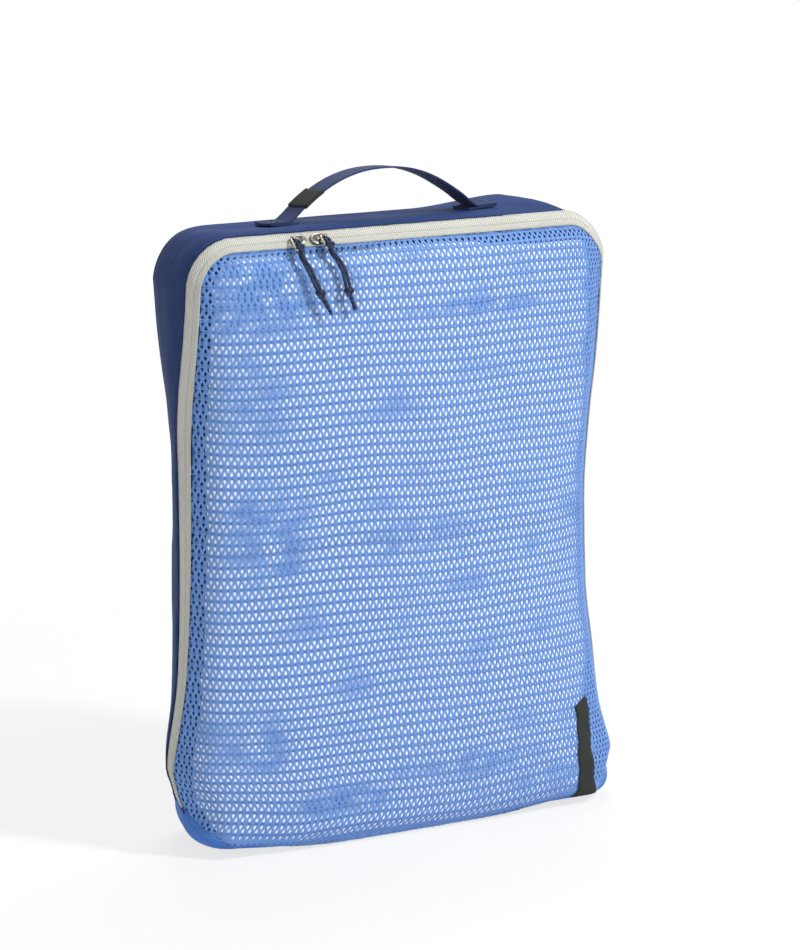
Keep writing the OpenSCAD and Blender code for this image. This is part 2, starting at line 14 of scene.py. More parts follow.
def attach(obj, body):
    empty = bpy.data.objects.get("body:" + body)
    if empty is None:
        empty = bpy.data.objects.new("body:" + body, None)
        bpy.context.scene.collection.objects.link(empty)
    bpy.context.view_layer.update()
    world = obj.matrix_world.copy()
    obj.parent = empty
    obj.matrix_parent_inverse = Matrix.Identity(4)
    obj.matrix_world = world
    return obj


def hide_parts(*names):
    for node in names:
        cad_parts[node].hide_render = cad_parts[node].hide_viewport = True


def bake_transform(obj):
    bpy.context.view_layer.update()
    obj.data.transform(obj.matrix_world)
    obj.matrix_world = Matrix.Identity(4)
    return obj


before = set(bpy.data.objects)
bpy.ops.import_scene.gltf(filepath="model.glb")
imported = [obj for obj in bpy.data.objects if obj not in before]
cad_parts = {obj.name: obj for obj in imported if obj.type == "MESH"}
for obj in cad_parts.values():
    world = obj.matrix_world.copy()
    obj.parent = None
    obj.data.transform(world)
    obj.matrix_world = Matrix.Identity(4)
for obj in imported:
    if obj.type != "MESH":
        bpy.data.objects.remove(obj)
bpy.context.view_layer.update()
scene = bpy.context.scene
MM = 0.001

# Sizes of the pouch in millimetres, nearly all as its solids have them
BODY_W = 330
BODY_H = 451
BODY_D = 80
WAIST = 2
FOOT_FLARE = 20
BACK_WAIST = 18
CORNER_R = 30
BACK_CORNER_R = CORNER_R + 8
FOOT_R = 34
FRONT_CROWN = 14
BACK_CROWN = 8
ZIP_RECESS = 23
TOP_BULGE = 2
SIDE_ROUND = 2.2
LOW_SIDE_ROUND = 5
ROUND_Z = 150
TOP_ROUND = 4
FOOT_ROUND = 6
NET_BORDER = 16
HEM_R = 1.8
CLEAR = 0.35
TAPE_W = 7.5
TAPE_T = 0.7
COIL_W = 2
COIL_H = 1.6
TOP_TILT = 55
LEFT_SLIDER_X = -85
RIGHT_SLIDER_X = -70
SLIDER_L = 11.4
SLIDER_W = 8.4
PLATE_T = 1.2
WIRE_R = 0.7
BAIL_L = 12
BAIL_W = 5.2
BAIL_LIFT = 20
CORD_R = 1.15
KNOT_R = 3.4
STRAP_W = 25
STRAP_Y = 1
STRAP_Z = BODY_H + 0.2
PLY_T = 1.3
HALF_SPAN = 73
HANDLE_RISE = 38
END_L = 18
LEG_X = HALF_SPAN - 14
LABEL_W = 12
LABEL_L = 76
LABEL_Z = 13
LABEL_X = BODY_W / 2 - 28
WRAP_L = 14.4

# Places that follow from the sizes
HINGE_Y = -BODY_D / 2 - 6
HINGE_Z = 6
BACK_Y = BODY_D / 2
BACK_FOOT_Z = 4
ZIP_Z = BODY_H - TOP_BULGE - TAPE_W * math.sin(math.radians(TOP_TILT))
BACK_Z = BODY_H - TOP_BULGE
ZIP_FRONT_Y = -BODY_D / 2 - 2
WAIST_Z = 0.6 * BODY_H
TOP_EDGE_Y = ZIP_FRONT_Y - TAPE_W * math.cos(math.radians(TOP_TILT))
CREST_Y = TOP_EDGE_Y - FRONT_CROWN
ARCH_Z = STRAP_Z + 2 * PLY_T + 0.8
MIDDLE = Vector((0, 0, BODY_H / 2))
SLIDER_FLOOR = TAPE_T / 2 + CLEAR
PIVOT = Vector((1.6 - SLIDER_L / 2, 1, SLIDER_FLOOR + PLATE_T + 1.1))

# Stations round a rim: each corner, side and top is cut this finely
FINE = 4
ARC_N = 3 * FINE
SIDE_N = 14 * FINE
TOP_N = 9 * FINE
LAST_GUSSET = 6 * ARC_N + 2 * SIDE_N + TOP_N
RIM_N = 8 * ARC_N + 2 * SIDE_N + 2 * TOP_N
ZIP_FIRST = 2 * FINE
ZIP_LAST = LAST_GUSSET - 2 * FINE
Station = namedtuple("Station", "x z out_x out_z foot")


# Shapes of the pouch


def lerp(a, b, t):
    return a + (b - a) * t


def smooth(t):
    c = min(1, max(0, t))
    return c * c * (3 - 2 * c)


def spread(first, last, count):
    return [lerp(first, last, i / count) for i in range(count + 1)]


def zip_x(z):
    """Half the width between the zip lines at a height."""
    over = max(0, (z - WAIST_Z) / (ZIP_Z - WAIST_Z))
    under = max(0, (WAIST_Z - z) / WAIST_Z)
    return BODY_W / 2 - WAIST + WAIST * over**2 + FOOT_FLARE * under**2.5


def back_x(z):
    """Half the width of the back panel at a height."""
    over = max(0, (z - WAIST_Z) / (BACK_Z - WAIST_Z))
    under = max(0, (WAIST_Z - z) / WAIST_Z)
    return BODY_W / 2 - 2 - BACK_WAIST + BACK_WAIST * over**2 + 0.4 * BACK_WAIST * under**2


def zip_y(z):
    """Depth of the zip line at a height."""
    rise = smooth((z - 0.64 * BODY_H) / (ZIP_Z - 0.64 * BODY_H))
    return ZIP_FRONT_Y + ZIP_RECESS * (1 - rise) + 8 * smooth((0.3 * BODY_H - z) / (0.16 * BODY_H))


def arc(x, z, r, side, up, angles):
    found = []
    for a in angles:
        c, s = math.cos(math.radians(a)), math.sin(math.radians(a))
        found.append(Station(x + side * r * c, z + up * r * s, side * c, up * s, a / 90 if up < 0 else 0))
    return found


def rim(half_width, top, bottom, top_r, bottom_r):
    """Stations round a rim, from the middle of its lower left corner up, over the top and back under."""
    low, high = bottom + bottom_r, top - top_r
    foot, head = half_width(low) - bottom_r, half_width(high) - top_r
    step = 45 / ARC_N
    turn = [step * i for i in range(1, 2 * ARC_N)]
    back = [90 - a for a in turn]
    return (
        arc(-foot, low, bottom_r, -1, -1, [45 - step * i for i in range(ARC_N)])
        + [Station(-half_width(z), z, -1, 0, 0) for z in spread(low, high, SIDE_N)]
        + arc(-head, high, top_r, -1, 1, turn)
        + [Station(x, top, 0, 1, 0) for x in spread(-head, head, TOP_N)]
        + arc(head, high, top_r, 1, 1, back)
        + [Station(half_width(z), z, 1, 0, 0) for z in spread(high, low, SIDE_N)]
        + arc(foot, low, bottom_r, 1, -1, turn)
        + [Station(x, bottom, 0, -1, 1) for x in spread(foot, -foot, TOP_N)]
        + arc(-foot, low, bottom_r, -1, -1, back[: ARC_N - 1])
    )


FRONT = rim(zip_x, ZIP_Z, HINGE_Z, CORNER_R, FOOT_R)
BACK = rim(back_x, BACK_Z, BACK_FOOT_Z, BACK_CORNER_R, FOOT_R - 2)


def station(stations, i):
    """The station at an index, which may lie between two of them."""
    low = math.floor(i)
    a, b = stations[low % RIM_N], stations[(low + 1) % RIM_N]
    return Station(*(lerp(p, q, i - low) for p, q in zip(a, b)))


rim_runs = [0]
for a, b in zip(FRONT, FRONT[1:] + FRONT):
    rim_runs.append(rim_runs[-1] + math.hypot(b.x - a.x, b.z - a.z))


def rim_run(i):
    """Length round the front rim up to a station."""
    low = min(len(rim_runs) - 2, math.floor(i))
    return lerp(rim_runs[low], rim_runs[low + 1], i - low)


def side_tilt(z):
    return lerp(8, 36, smooth((z - 60) / (ZIP_Z - 60))) - 16 * smooth((82 - z) / 42)


def tilt(s):
    return math.radians(lerp(side_tilt(s.z), TOP_TILT, max(0, s.out_z)))


def front_y(s):
    if s.foot > 0:
        return lerp(zip_y(HINGE_Z + FOOT_R), HINGE_Y, smooth(s.foot))
    return zip_y(s.z)


def place(s, y, out, deep):
    return Vector((s.x + out * s.out_x, y + deep, s.z + out * s.out_z))


TAPE_BEND = 0.018


def across(i, a, b):
    """A point across the bent zip at a station: a runs towards the flap and b outwards."""
    s = station(FRONT, i)
    t = tilt(s)
    b -= TAPE_BEND * a * a
    return place(
        s,
        front_y(s),
        -a * math.sin(t) + b * math.cos(t),
        -a * math.cos(t) - b * math.sin(t),
    )


def foot_share(s):
    """How far a station has turned under the foot, which starts soon after the straight side."""
    return smooth((s.foot - 0.05) * 3.4)


def corner_share(s):
    """How far a station lies in a lower corner: 1 at its middle, 0 at the sides and along the bottom."""
    return 4 * s.foot * (1 - s.foot)


def flap_tape_w(s):
    """How much of the flap's tape shows: less of it low down."""
    return lerp(3.2, 4.7, smooth((s.z - 60) / 200))


def flap_edge(i, b):
    """The edge of the net: under the tape, inside the lower corners and over the hem."""
    s = station(FRONT, i)
    lip = lerp(4.4 * smooth((135 - abs(s.x)) / 75), -3, smooth(1.6 * corner_share(s)))
    under = place(s, front_y(s), lip, lerp(-HEM_R - 0.8, 0.6, corner_share(s)) - b)
    return across(i, flap_tape_w(s) + 0.1, b).lerp(under, foot_share(s))


def gusset_edge(i):
    """The turned edge of the cloth: on the tape, on the net in the lower corners and behind the hem."""
    s = station(FRONT, i)
    under = place(s, front_y(s), lerp(0, -5, corner_share(s)), lerp(HEM_R + 0.1, -1.4, corner_share(s)))
    hidden = smooth((s.x - 60) / 80)
    over = across(i, lerp(0.2, 1.6, hidden) - TAPE_W, lerp(TAPE_T / 2 + 0.75, -TAPE_T / 2 - 0.95, hidden))
    return over.lerp(under, foot_share(s))


def creases(p, size, height):
    """Soft folds: height of a smooth noise at a point."""
    return height * (noise.noise(p / size) + 0.45 * noise.noise(p / (0.4 * size)))


def wall(i, v, lift=0):
    """A point of the gusset or the bottom: i round the rim, v from the zip to the back seam."""
    s, b = station(FRONT, i), station(BACK, i)
    p = gusset_edge(i).lerp(Vector((b.x, BACK_Y + 0.5, b.z)), v)
    out = Vector((s.out_x + b.out_x, 0, s.out_z + b.out_z)).normalized()
    edge = abs(2 * v - 1)
    bulge = TOP_BULGE * (1 - edge**4)
    down = p.z * (1 - edge**8)
    return p + (lerp(bulge, down, smooth(s.foot)) + lift) * out


def flap_x(z):
    return zip_x(z) - TAPE_W * math.sin(math.radians(side_tilt(z)))


def flap_side_y(z):
    return zip_y(z) - TAPE_W * math.cos(math.radians(side_tilt(z)))


def centre_y(z):
    mid = BODY_H / 2
    if z > mid:
        t, power, edge = (z - mid) / (ZIP_Z - mid), TOP_ROUND, TOP_EDGE_Y
    else:
        t, power, edge = (mid - z) / mid, FOOT_ROUND, HINGE_Y - HEM_R - 1.2
    return lerp(edge, CREST_Y, math.sqrt(1 - min(1, max(0, t)) ** power))


def net_y(x, z):
    """Depth of the filled net front."""
    u = min(1, abs(x) / flap_x(z))
    side = flap_side_y(z)
    power = lerp(LOW_SIDE_ROUND, SIDE_ROUND, smooth(z / ROUND_Z))
    return lerp(side, min(side, centre_y(z)), math.sqrt(1 - u**power))


# The flap's outline, where the net dives under the tape, and under the hem at the foot
EDGE_CUTS = 4
FACING_W = 17
TUCK = 10
TUCK_W = 3
edge_points = []
edge_tucks = []
edge_stations = []
for k in range(RIM_N * EDGE_CUTS):
    i = k / EDGE_CUTS
    edge_points.append(flap_edge(i, -0.45))
    edge_stations.append(station(FRONT, i))
    under_tape = (across(i, 0, 0) - across(i, 1, 0)).lerp(Vector((0, 1, 0)), foot_share(edge_stations[-1]))
    edge_tucks.append(under_tape.normalized())
edge_tree = kdtree.KDTree(len(edge_points))
for k, p in enumerate(edge_points):
    edge_tree.insert((p.x, 0, p.z), k)
edge_tree.balance()


def flap_surface(x, z):
    """The filled net front at x and z, tucked under its edge outside the outline, and how far in it is."""
    found, k, away = edge_tree.find((x, 0, z))
    edge, s = edge_points[k], edge_stations[k]
    if (x - edge.x) * s.out_x + (z - edge.z) * s.out_z > 0:
        return edge + TUCK_W * (1 - math.exp(-away / TUCK_W)) * edge_tucks[k], -away
    share = 1 - (1 - min(1, away / NET_BORDER)) ** 2.2
    y = lerp(edge.y, net_y(x, z), share)
    y += share * creases(Vector((x, 0, z)), 70, 0.9)
    return Vector((x, y, z)), away


def flap_out(x, z):
    """Outward direction of the net front."""
    dx = flap_surface(x + 1, z)[0] - flap_surface(x - 1, z)[0]
    dz = flap_surface(x, z + 1)[0] - flap_surface(x, z - 1)[0]
    return dx.cross(dz).normalized()


def arch(x):
    return ARCH_Z + (HANDLE_RISE - 5) * (1 - (abs(x) / HALF_SPAN) ** 2.2)


# Making pieces


def hump(t):
    """A smooth bump: 1 at 0, 0 from -1 down and from 1 up."""
    return smooth(1 - abs(t))


def slump(p):
    """How the filled pouch really stands: leaning on its foot, its corners drawn in, its sides full."""
    right = min(1, max(0, p.x / BODY_W + 0.5))
    shift = 10 * right * smooth((170 - p.z) / 120) + 8 * (1 - right) * hump((p.z - 33) / 30)
    shift += smooth((p.x - 110) / 50) * (5 * smooth((70 - p.z) / 50) + 4 * smooth((24 - p.z) / 20))
    shift += 6 * smooth((p.x - 90) / 70) * hump((p.z - 330) / 100)
    behind = smooth((p.y + 30) / 40)
    shift -= 5 * behind * smooth((-p.x - 90) / 70) * hump((p.z - 365) / 90)
    low = smooth((95 - p.z) / 70)
    rise = low * (5 * smooth((-p.x - 90) / 65) + 2 * smooth((p.x - 10) / 140))
    high = smooth((p.z - 385) / 50)
    rise -= 5 * high * smooth((p.x - 133) / 32)
    top = 3 * smooth((-p.x - 120) / 30) - 4 + 6 * hump((p.x - 120) / 75)
    return p + Vector((shift, 0, rise + behind * high * top))


def make_piece(name, bm, finish, body, replaces=(), sharp=None):
    """A finished piece from a bmesh in millimetres, riding on a body."""
    mesh = bpy.data.meshes.new(name)
    for vert in bm.verts:
        vert.co = slump(vert.co)
    bm.to_mesh(mesh)
    bm.free()
    return dress(name, mesh, finish, body, replaces, sharp)


def dress(name, mesh, finish, body, replaces=(), sharp=None):
    mesh.transform(Matrix.Scale(MM, 4))
    mesh.polygons.foreach_set("use_smooth", [True] * len(mesh.polygons))
    if sharp:
        mesh.set_sharp_from_angle(angle=math.radians(sharp))
    mesh.materials.clear()
    mesh.materials.append(finish)
    obj = bpy.data.objects.new(name, mesh)
    scene.collection.objects.link(obj)
    if body:
        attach(obj, body)
    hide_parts(*replaces)
    return obj


def thicken(obj, thickness, offset=-1):
    shell = obj.modifiers.new("Thickness", "SOLIDIFY")
    shell.thickness = thickness * MM
    shell.offset = offset
    return obj


def grid(columns, rows, put, flat=(1, 1), loop=False, along=None):
    """A sheet of columns by rows faces. put(u, v) gives each corner and flat is the size of its pattern.

    Where the columns differ in length, along(u) gives the length of the pattern instead.
    """
    bm = bmesh.new()
    bmesh.ops.create_grid(bm, x_segments=columns, y_segments=rows, size=0.5)
    pattern = bm.loops.layers.uv.new("Pattern")
    for face in bm.faces:
        for corner in face.loops:
            u, v = corner.vert.co.x + 0.5, corner.vert.co.y + 0.5
            corner[pattern].uv = (along(u) if along else u * flat[0], v * flat[1])
    for vert in bm.verts:
        vert.co = put(vert.co.x + 0.5, vert.co.y + 0.5)
    if loop:
        bmesh.ops.remove_doubles(bm, verts=bm.verts, dist=0.001)
    return bm


def rim_grid(first, last, rows, put, width):
    """A sheet along the front rim from one station to another. put(i, v) gives each corner."""

    def at(u):
        return lerp(first, last, u)

    return grid(last - first, rows, lambda u, v: put(at(u), v), (1, width), along=lambda u: rim_run(at(u)))


def face_away(bm, centre=MIDDLE):
    """Turns a sheet so that its faces look away from a point."""
    bm.normal_update()
    total = sum((f.calc_center_median() - centre).dot(f.normal) * f.calc_area() for f in bm.faces)
    if total < 0:
        bmesh.ops.reverse_faces(bm, faces=bm.faces)
    return bm


def tube(points, radius, closed=False, sides=3, taper=None):
    """A mesh tube along points, with its pattern along and round it."""
    line = bpy.data.curves.new("line", "CURVE")
    line.dimensions = "3D"
    line.bevel_depth = radius
    line.bevel_resolution = sides
    line.use_fill_caps = True
    spline = line.splines.new("POLY")
    spline.points.add(len(points) - 1)
    spline.use_cyclic_u = closed
    for k, p in enumerate(points):
        spline.points[k].co = (*p, 1)
        spline.points[k].radius = taper(k / (len(points) - 1)) if taper else 1
    holder = bpy.data.objects.new("line", line)
    scene.collection.objects.link(holder)
    mesh = bpy.data.meshes.new_from_object(holder.evaluated_get(bpy.context.evaluated_depsgraph_get()))
    bpy.data.objects.remove(holder)
    bpy.data.curves.remove(line)
    return mesh


def curve_through(points, cuts):
    """A smooth line through points."""
    ends = [2 * points[0] - points[1], *points, 2 * points[-1] - points[-2]]
    found = []
    for a, b, c, d in zip(ends, ends[1:], ends[2:], ends[3:]):
        for k in range(cuts):
            t = k / cuts
            bend, twist = 2 * a - 5 * b + 4 * c - d, 3 * b - a - 3 * c + d
            found.append(0.5 * (2 * b + (c - a) * t + bend * t**2 + twist * t**3))
    return found + [points[-1]]


def run_length(points):
    return sum((q - p).length for p, q in zip(points, points[1:]))


def stitches(lines, pitch, thread_r, share=0.72):
    """Sewn stitches along lines: each is a list of points on the cloth with the outward direction there."""
    bm = bmesh.new()
    for line in lines:
        run = 0
        for (p, out), (q, _) in zip(line, line[1:]):
            gap = (q - p).length
            while run < gap:
                at = p.lerp(q, run / gap)
                along = (q - p).normalized()
                side = out.cross(along).normalized()
                up = along.cross(side)
                turn = Matrix((side, up, along)).transposed().to_4x4()
                turn.translation = at + 0.35 * thread_r * up
                bmesh.ops.create_cone(
                    bm,
                    cap_ends=True,
                    segments=6,
                    radius1=thread_r,
                    radius2=thread_r,
                    depth=share * pitch,
                    matrix=turn,
                )
                run += pitch
            run -= gap
    return bm


# Finishes


class Value:
    """A value in a finish that can be used in sums."""

    def __init__(self, finish, socket):
        self.finish = finish
        self.socket = socket

    def math(self, operation, *others):
        return self.finish.node("ShaderNodeMath", {"operation": operation}, dict(enumerate((self, *others))))

    def __add__(self, other):
        return self.math("ADD", other)

    def __sub__(self, other):
        return self.math("SUBTRACT", other)

    def __rsub__(self, other):
        return self.finish.node("ShaderNodeMath", {"operation": "SUBTRACT"}, {0: other, 1: self})

    def __mul__(self, other):
        return self.math("MULTIPLY", other)

    def __lt__(self, limit):
        return self.math("LESS_THAN", limit)

    __radd__ = __add__
    __rmul__ = __mul__

    def wave(self, period):
        """A sine of the value, from 0 to 1."""
        return (self * (2 * math.pi / period)).math("SINE") * 0.5 + 0.5

    def part(self, period):
        """Where the value lies in its period, from 0 to 1."""
        return (self * (1 / period)).math("FRACT")


class Finish:
    """A material being made."""

    def __init__(self, name, roughness, **fixed):
        self.material = bpy.data.materials.new(name)
        self.material.use_nodes = True
        self.tree = self.material.node_tree
        self.shader = self.tree.nodes["Principled BSDF"]
        self.shader.inputs["Roughness"].default_value = roughness
        for name, value in fixed.items():
            self.shader.inputs[name.replace("_", " ").title().replace("Ior", "IOR")].default_value = value

    def feed(self, socket, value):
        if isinstance(value, Value):
            self.tree.links.new(value.socket, socket)
        else:
            socket.default_value = value

    def node(self, kind, settings=None, inputs=None, output=0):
        made = self.tree.nodes.new(kind)
        for key, value in (settings or {}).items():
            setattr(made, key, value)
        for key, value in (inputs or {}).items():
            self.feed(made.inputs[key], value)
        return Value(self, made.outputs[output])

    def pattern(self):
        """The two coordinates of the piece's own pattern, in millimetres."""
        flat = self.node("ShaderNodeTexCoord", output="UV")
        return [self.node("ShaderNodeSeparateXYZ", inputs={0: flat}, output=k) for k in (0, 1)]

    def noise(self, size, detail=3):
        """A noise from 0 to 1 whose grains have a size in millimetres."""
        where = self.node("ShaderNodeTexCoord", output="Object")
        inputs = {"Vector": where, "Scale": 1 / (size * MM), "Detail": detail}
        return self.node("ShaderNodeTexNoise", inputs=inputs)

    def mix(self, share, first, second):
        inputs = {0: share, 6: first, 7: second}
        return self.node("ShaderNodeMix", {"data_type": "RGBA"}, inputs, output=2)

    def colour(self, value):
        self.feed(self.shader.inputs["Base Color"], value)

    def relief(self, height, depth, strength=1):
        """Bumps: a height from 0 to 1 over a depth in millimetres."""
        inputs = {"Height": height, "Distance": depth * MM, "Strength": strength}
        bump = self.node("ShaderNodeBump", inputs=inputs, output="Normal")
        self.feed(self.shader.inputs["Normal"], bump)


def tone(colour, factor):
    return (*(min(1, c * factor) for c in colour), 1)


def woven_cloth(name, colour, thread=0.55):
    """Plain weave: crossing threads with faint clouds over them."""
    f = Finish(name, 0.62, Specular_IOR_Level=0.06)
    u, v = f.pattern()
    weave = u.wave(2 * thread) * v.wave(2 * thread) + (1 - u.wave(2 * thread)) * (1 - v.wave(2 * thread))
    patches = f.noise(38, 4)
    grain = f.noise(1.4, 2)
    shade = patches * 0.55 + grain * 0.25 + weave * 0.2
    f.colour(f.mix(shade, tone(colour, 0.78), tone(colour, 1.22)))
    f.relief(weave * 0.6 + grain * 0.4, 0.14, 0.5)
    return f.material


def twill_tape(name, colour):
    """Zip tape: steep twill lines crossed by fine knots."""
    f = Finish(name, 0.7, Sheen_Weight=0.2, Sheen_Roughness=0.5, Specular_IOR_Level=0.2)
    u, v = f.pattern()
    lines = (u + v * 0.8).wave(1.7)
    knots = (u - v * 0.5).wave(0.8)
    grain = f.noise(0.8, 2)
    dirt = f.noise(22, 3)
    shade = lines * 0.5 + knots * 0.15 + grain * 0.25 + dirt * 0.1
    f.colour(f.mix(shade, tone(colour, 0.42), tone(colour, 1.36)))
    f.relief(lines * 0.7 + knots * 0.3, 0.35, 0.9)
    return f.material


def ribbed_webbing(name, colour):
    """Webbing: ribs along its length with a fine chevron between them."""
    f = Finish(name, 0.68, Sheen_Weight=0.04, Sheen_Roughness=0.4, Specular_IOR_Level=0.08)
    u, v = f.pattern()
    ribs = v.wave(2.1)
    chevron = (u + ribs * 0.9).wave(1.3)
    grain = f.noise(0.9, 2)
    shade = ribs * 0.4 + chevron * 0.35 + grain * 0.25
    f.colour(f.mix(shade, tone(colour, 0.62), tone(colour, 1.3)))
    f.relief(ribs * 0.6 + chevron * 0.4, 0.3, 0.8)
    return f.material


# Painted light on the net's yarn: shadow in its small gaps, shade towards its bands, its lit threads and
# highlights on its raised knots
NET_LIGHT_TONES = [(0.3, 0.4, 0.58), (0.72, 0.78, 0.88), (1.25, 1.18, 1.12), (1.6, 1.4, 1.2)]


def knitted_net(name, colour):
    """Net yarn: a fine grain and soft random patches, with painted shade on the strips towards their bands,
    painted shadows as short dashes in the small gaps along the bands to the left, and painted highlights on
    paler knots in rings of painted shade to the right.
    """
    f = Finish(name, 0.5, Sheen_Weight=0.04, Sheen_Roughness=0.35, Specular_IOR_Level=0.15)
    u, v = f.pattern()
    odd = v.part(2 * NET_PERIOD) < 0.75
    turn = u * (1 / NET_PITCH) + (1 - odd) * 0.5
    along = turn.math("FRACT") - 0.5
    beside = ((turn + 0.5).math("FRACT") - 0.5) * NET_PITCH
    up = (v * (1 / NET_PERIOD) + (0.5 + 0.5 * NET_BAND / NET_PERIOD)).math("FRACT") - 0.5
    sideways, upwards = along * NET_PITCH, up * NET_PERIOD
    away = sideways * sideways + upwards * upwards
    # Painted shadow: a short dash in the small gap at each drop's foot.
    gap_shadow = (1 - beside * beside * (1 / 1.5**2) - upwards * upwards * (1 / 0.9**2)).math("MAXIMUM", 0)
    # Painted highlight on each knot, with a wider ring of painted shade round it.
    knot = (1 - away * (1 / KNOT_SPOT**2)).math("MAXIMUM", 0)
    knot_shade_ring = (1 - away * (1 / (2.2 * KNOT_SPOT) ** 2)).math("MAXIMUM", 0)
    where = f.node("ShaderNodeTexCoord", output="Object")
    x = f.node("ShaderNodeSeparateXYZ", inputs={0: where})
    # The left and right of the net differ only in how the painted shadows and highlights fall.
    right = f.node("ShaderNodeMapRange", {"interpolation_type": "SMOOTHSTEP"}, {0: x, 1: -0.06, 2: 0.03})
    grain = f.noise(0.7, 2)
    yarn = (u + v * 1.7).wave(0.55)
    patches = f.noise(45, 3)
    # Painted shade: the strips darken towards their bands.
    strip = up * up * 4
    shade = grain * 0.2 + yarn * 0.2 + patches * 0.25 + strip * 0.35
    # Painted light tones of the yarn: shadow in gaps, shade (deep), lit thread and knot highlight.
    gap_shadow_tone, deep, lit_tone, knot_highlight_tone = ((*(c * t for c, t in zip(colour, tones)), 1) for tones in NET_LIGHT_TONES)
    plain = f.mix(shade, deep, lit_tone)
    shadowed_gaps = f.mix(gap_shadow * 0.9, plain, gap_shadow_tone)
    lit_knots = f.mix(knot, f.mix(knot_shade_ring * 0.5, plain, gap_shadow_tone), knot_highlight_tone)
    f.colour(f.mix(right, shadowed_gaps, lit_knots))
    f.relief(yarn * 0.5 + grain * 0.5, 0.12, 0.6)
    return f.material


def braided_cord(name, colour):
    """Round braid: strands that cross in a checked spiral."""
    f = Finish(name, 0.72, Sheen_Weight=0.04, Sheen_Roughness=0.4, Specular_IOR_Level=0.08)
    u, v = f.pattern()
    braid = (u * 4 + v).wave(1).math("MAXIMUM", (u * 4 - v).wave(1))
    grain = f.noise(0.4, 2)
    f.colour(f.mix(braid * 0.7 + grain * 0.3, tone(colour, 0.35), tone(colour, 2)))
    f.relief(braid, 0.3, 0.9)
    return f.material


def plated_metal(name, colour, roughness):
    """Dark nickel plate with fine wear."""
    f = Finish(name, roughness, Metallic=1.0)
    wear = f.noise(1.6, 4)
    f.colour(f.mix(wear, tone(colour, 0.7), tone(colour, 1.25)))
    f.feed(f.shader.inputs["Roughness"], wear * 0.22 + (roughness - 0.1))
    f.relief(f.noise(0.5, 3), 0.02, 0.25)
    return f.material


def label_cloth(name, colour):
    """Bare woven label: a dense matt satin."""
    f = Finish(name, 0.75, Specular_IOR_Level=0.08)
    u, v = f.pattern()
    weave = u.wave(0.6) * 0.5 + v.wave(0.45) * 0.5
    grain = f.noise(1.1, 3)
    f.colour(f.mix(weave * 0.6 + grain * 0.4, tone(colour, 0.7), tone(colour, 1.4)))
    f.relief(weave, 0.1, 0.5)
    return f.material


def moulded_coil(name, colour):
    """Nylon coil: smooth and slightly clouded."""
    f = Finish(name, 0.36, Specular_IOR_Level=0.45)
    f.colour(f.mix(f.noise(3, 2), tone(colour, 0.85), tone(colour, 1.1)))
    f.relief(f.noise(0.3, 2), 0.02, 0.3)
    return f.material


def thin_paper(name):
    """Tissue paper: white, with faint painted crease shade tinted a little blue, and painted blue shade where
    it lies deep behind the net.
    """
    f = Finish(name, 0.8, Specular_IOR_Level=0.1)
    # Painted shade of creases, a little blue like light through the net.
    crease_shade = f.mix(f.noise(24, 4), (0.93, 0.95, 0.98, 1), (1, 1, 1, 1))
    # Painted blue shade where the paper lies back from the net, standing in for the shade and blue light
    # there.
    deep = f.node("ShaderNodeAttribute", {"attribute_name": "depth"}, output="Fac")
    f.colour(f.mix(deep, crease_shade, (0.24, 0.5, 1, 1)))
    f.relief(f.noise(9, 5), 0.8, 0.4)
    return f.material


def sewing_thread(name, colour):
    """Spun thread with a fine twist."""
    f = Finish(name, 0.6, Sheen_Weight=0.2)
    grain = f.noise(0.35, 2)
    f.colour(f.mix(grain, tone(colour, 0.7), tone(colour, 1.3)))
    f.relief(grain, 0.05, 0.6)
    return f.material


NET_PITCH = 4.9
NET_STRIP = 7.4
NET_BAND = 0.65
NET_PERIOD = NET_STRIP + NET_BAND
NET_THREAD = 0.5
NET_T = 0.45
HOLE_W = 2.3
HOLE_L = 3.85
HOLE_IN = 0.68
BAND_RISE = 0.03
KNOT_SPOT = 1

NAVY = (0.0172, 0.04, 0.138)
ROYAL = (0.085, 0.215, 0.60)
NET_BLUE = (0.175, 0.335, 0.7)

navy_cloth = woven_cloth("navy_cloth", NAVY)
blue_cloth = woven_cloth("blue_cloth", ROYAL)
binding_cloth = woven_cloth("binding_cloth", (0.013, 0.02, 0.055), thread=0.8)
# The seam binding behind the net's edge is painted a far lighter blue than navy, standing in for the dim
# light inside the bag seen through the holes.
facing_painted_light = woven_cloth("facing_painted_light", (0.06, 0.2, 0.62), thread=0.8)
zip_tape = twill_tape("zip_tape", (0.66, 0.66, 0.6))
webbing = ribbed_webbing("webbing", (0.035, 0.052, 0.135))
net_yarn = knitted_net("net_yarn", NET_BLUE)
pull_braid = braided_cord("pull_braid", (0.027, 0.034, 0.066))
nickel = plated_metal("nickel", (0.13, 0.127, 0.112), 0.24)
wire_metal = plated_metal("wire_metal", (0.62, 0.61, 0.55), 0.26)
label_black = label_cloth("label_black", (0.035, 0.038, 0.035))
coil_nylon = moulded_coil("coil_nylon", (0.62, 0.62, 0.57))
paper_white = thin_paper("paper_white")
navy_thread = sewing_thread("navy_thread", (0.035, 0.05, 0.14))
blue_thread = sewing_thread("blue_thread", (0.07, 0.17, 0.5))
pale_thread = sewing_thread("pale_thread", (0.55, 0.55, 0.5))


# Gusset, bottom and back


SEAM_ROWS = [0, 0.012, 0.024, 0.034, 0.042, 0.05, 0.062, 0.08]
WALL_ROWS = SEAM_ROWS + spread(0.12, 0.88, 19) + [1 - v for v in reversed(SEAM_ROWS)]
SEAM_V = 0.042
STITCH_LIFT = 0.05


def seam_lift(v):
    """The turned edge stands up a little and a sewn groove runs beside it."""
    edge = min(v, 1 - v)
    ridge = math.exp(-(((edge - 0.02) / 0.013) ** 2))
    groove = math.exp(-(((edge - SEAM_V) / 0.009) ** 2))
    return 0.55 * ridge - 0.45 * groove


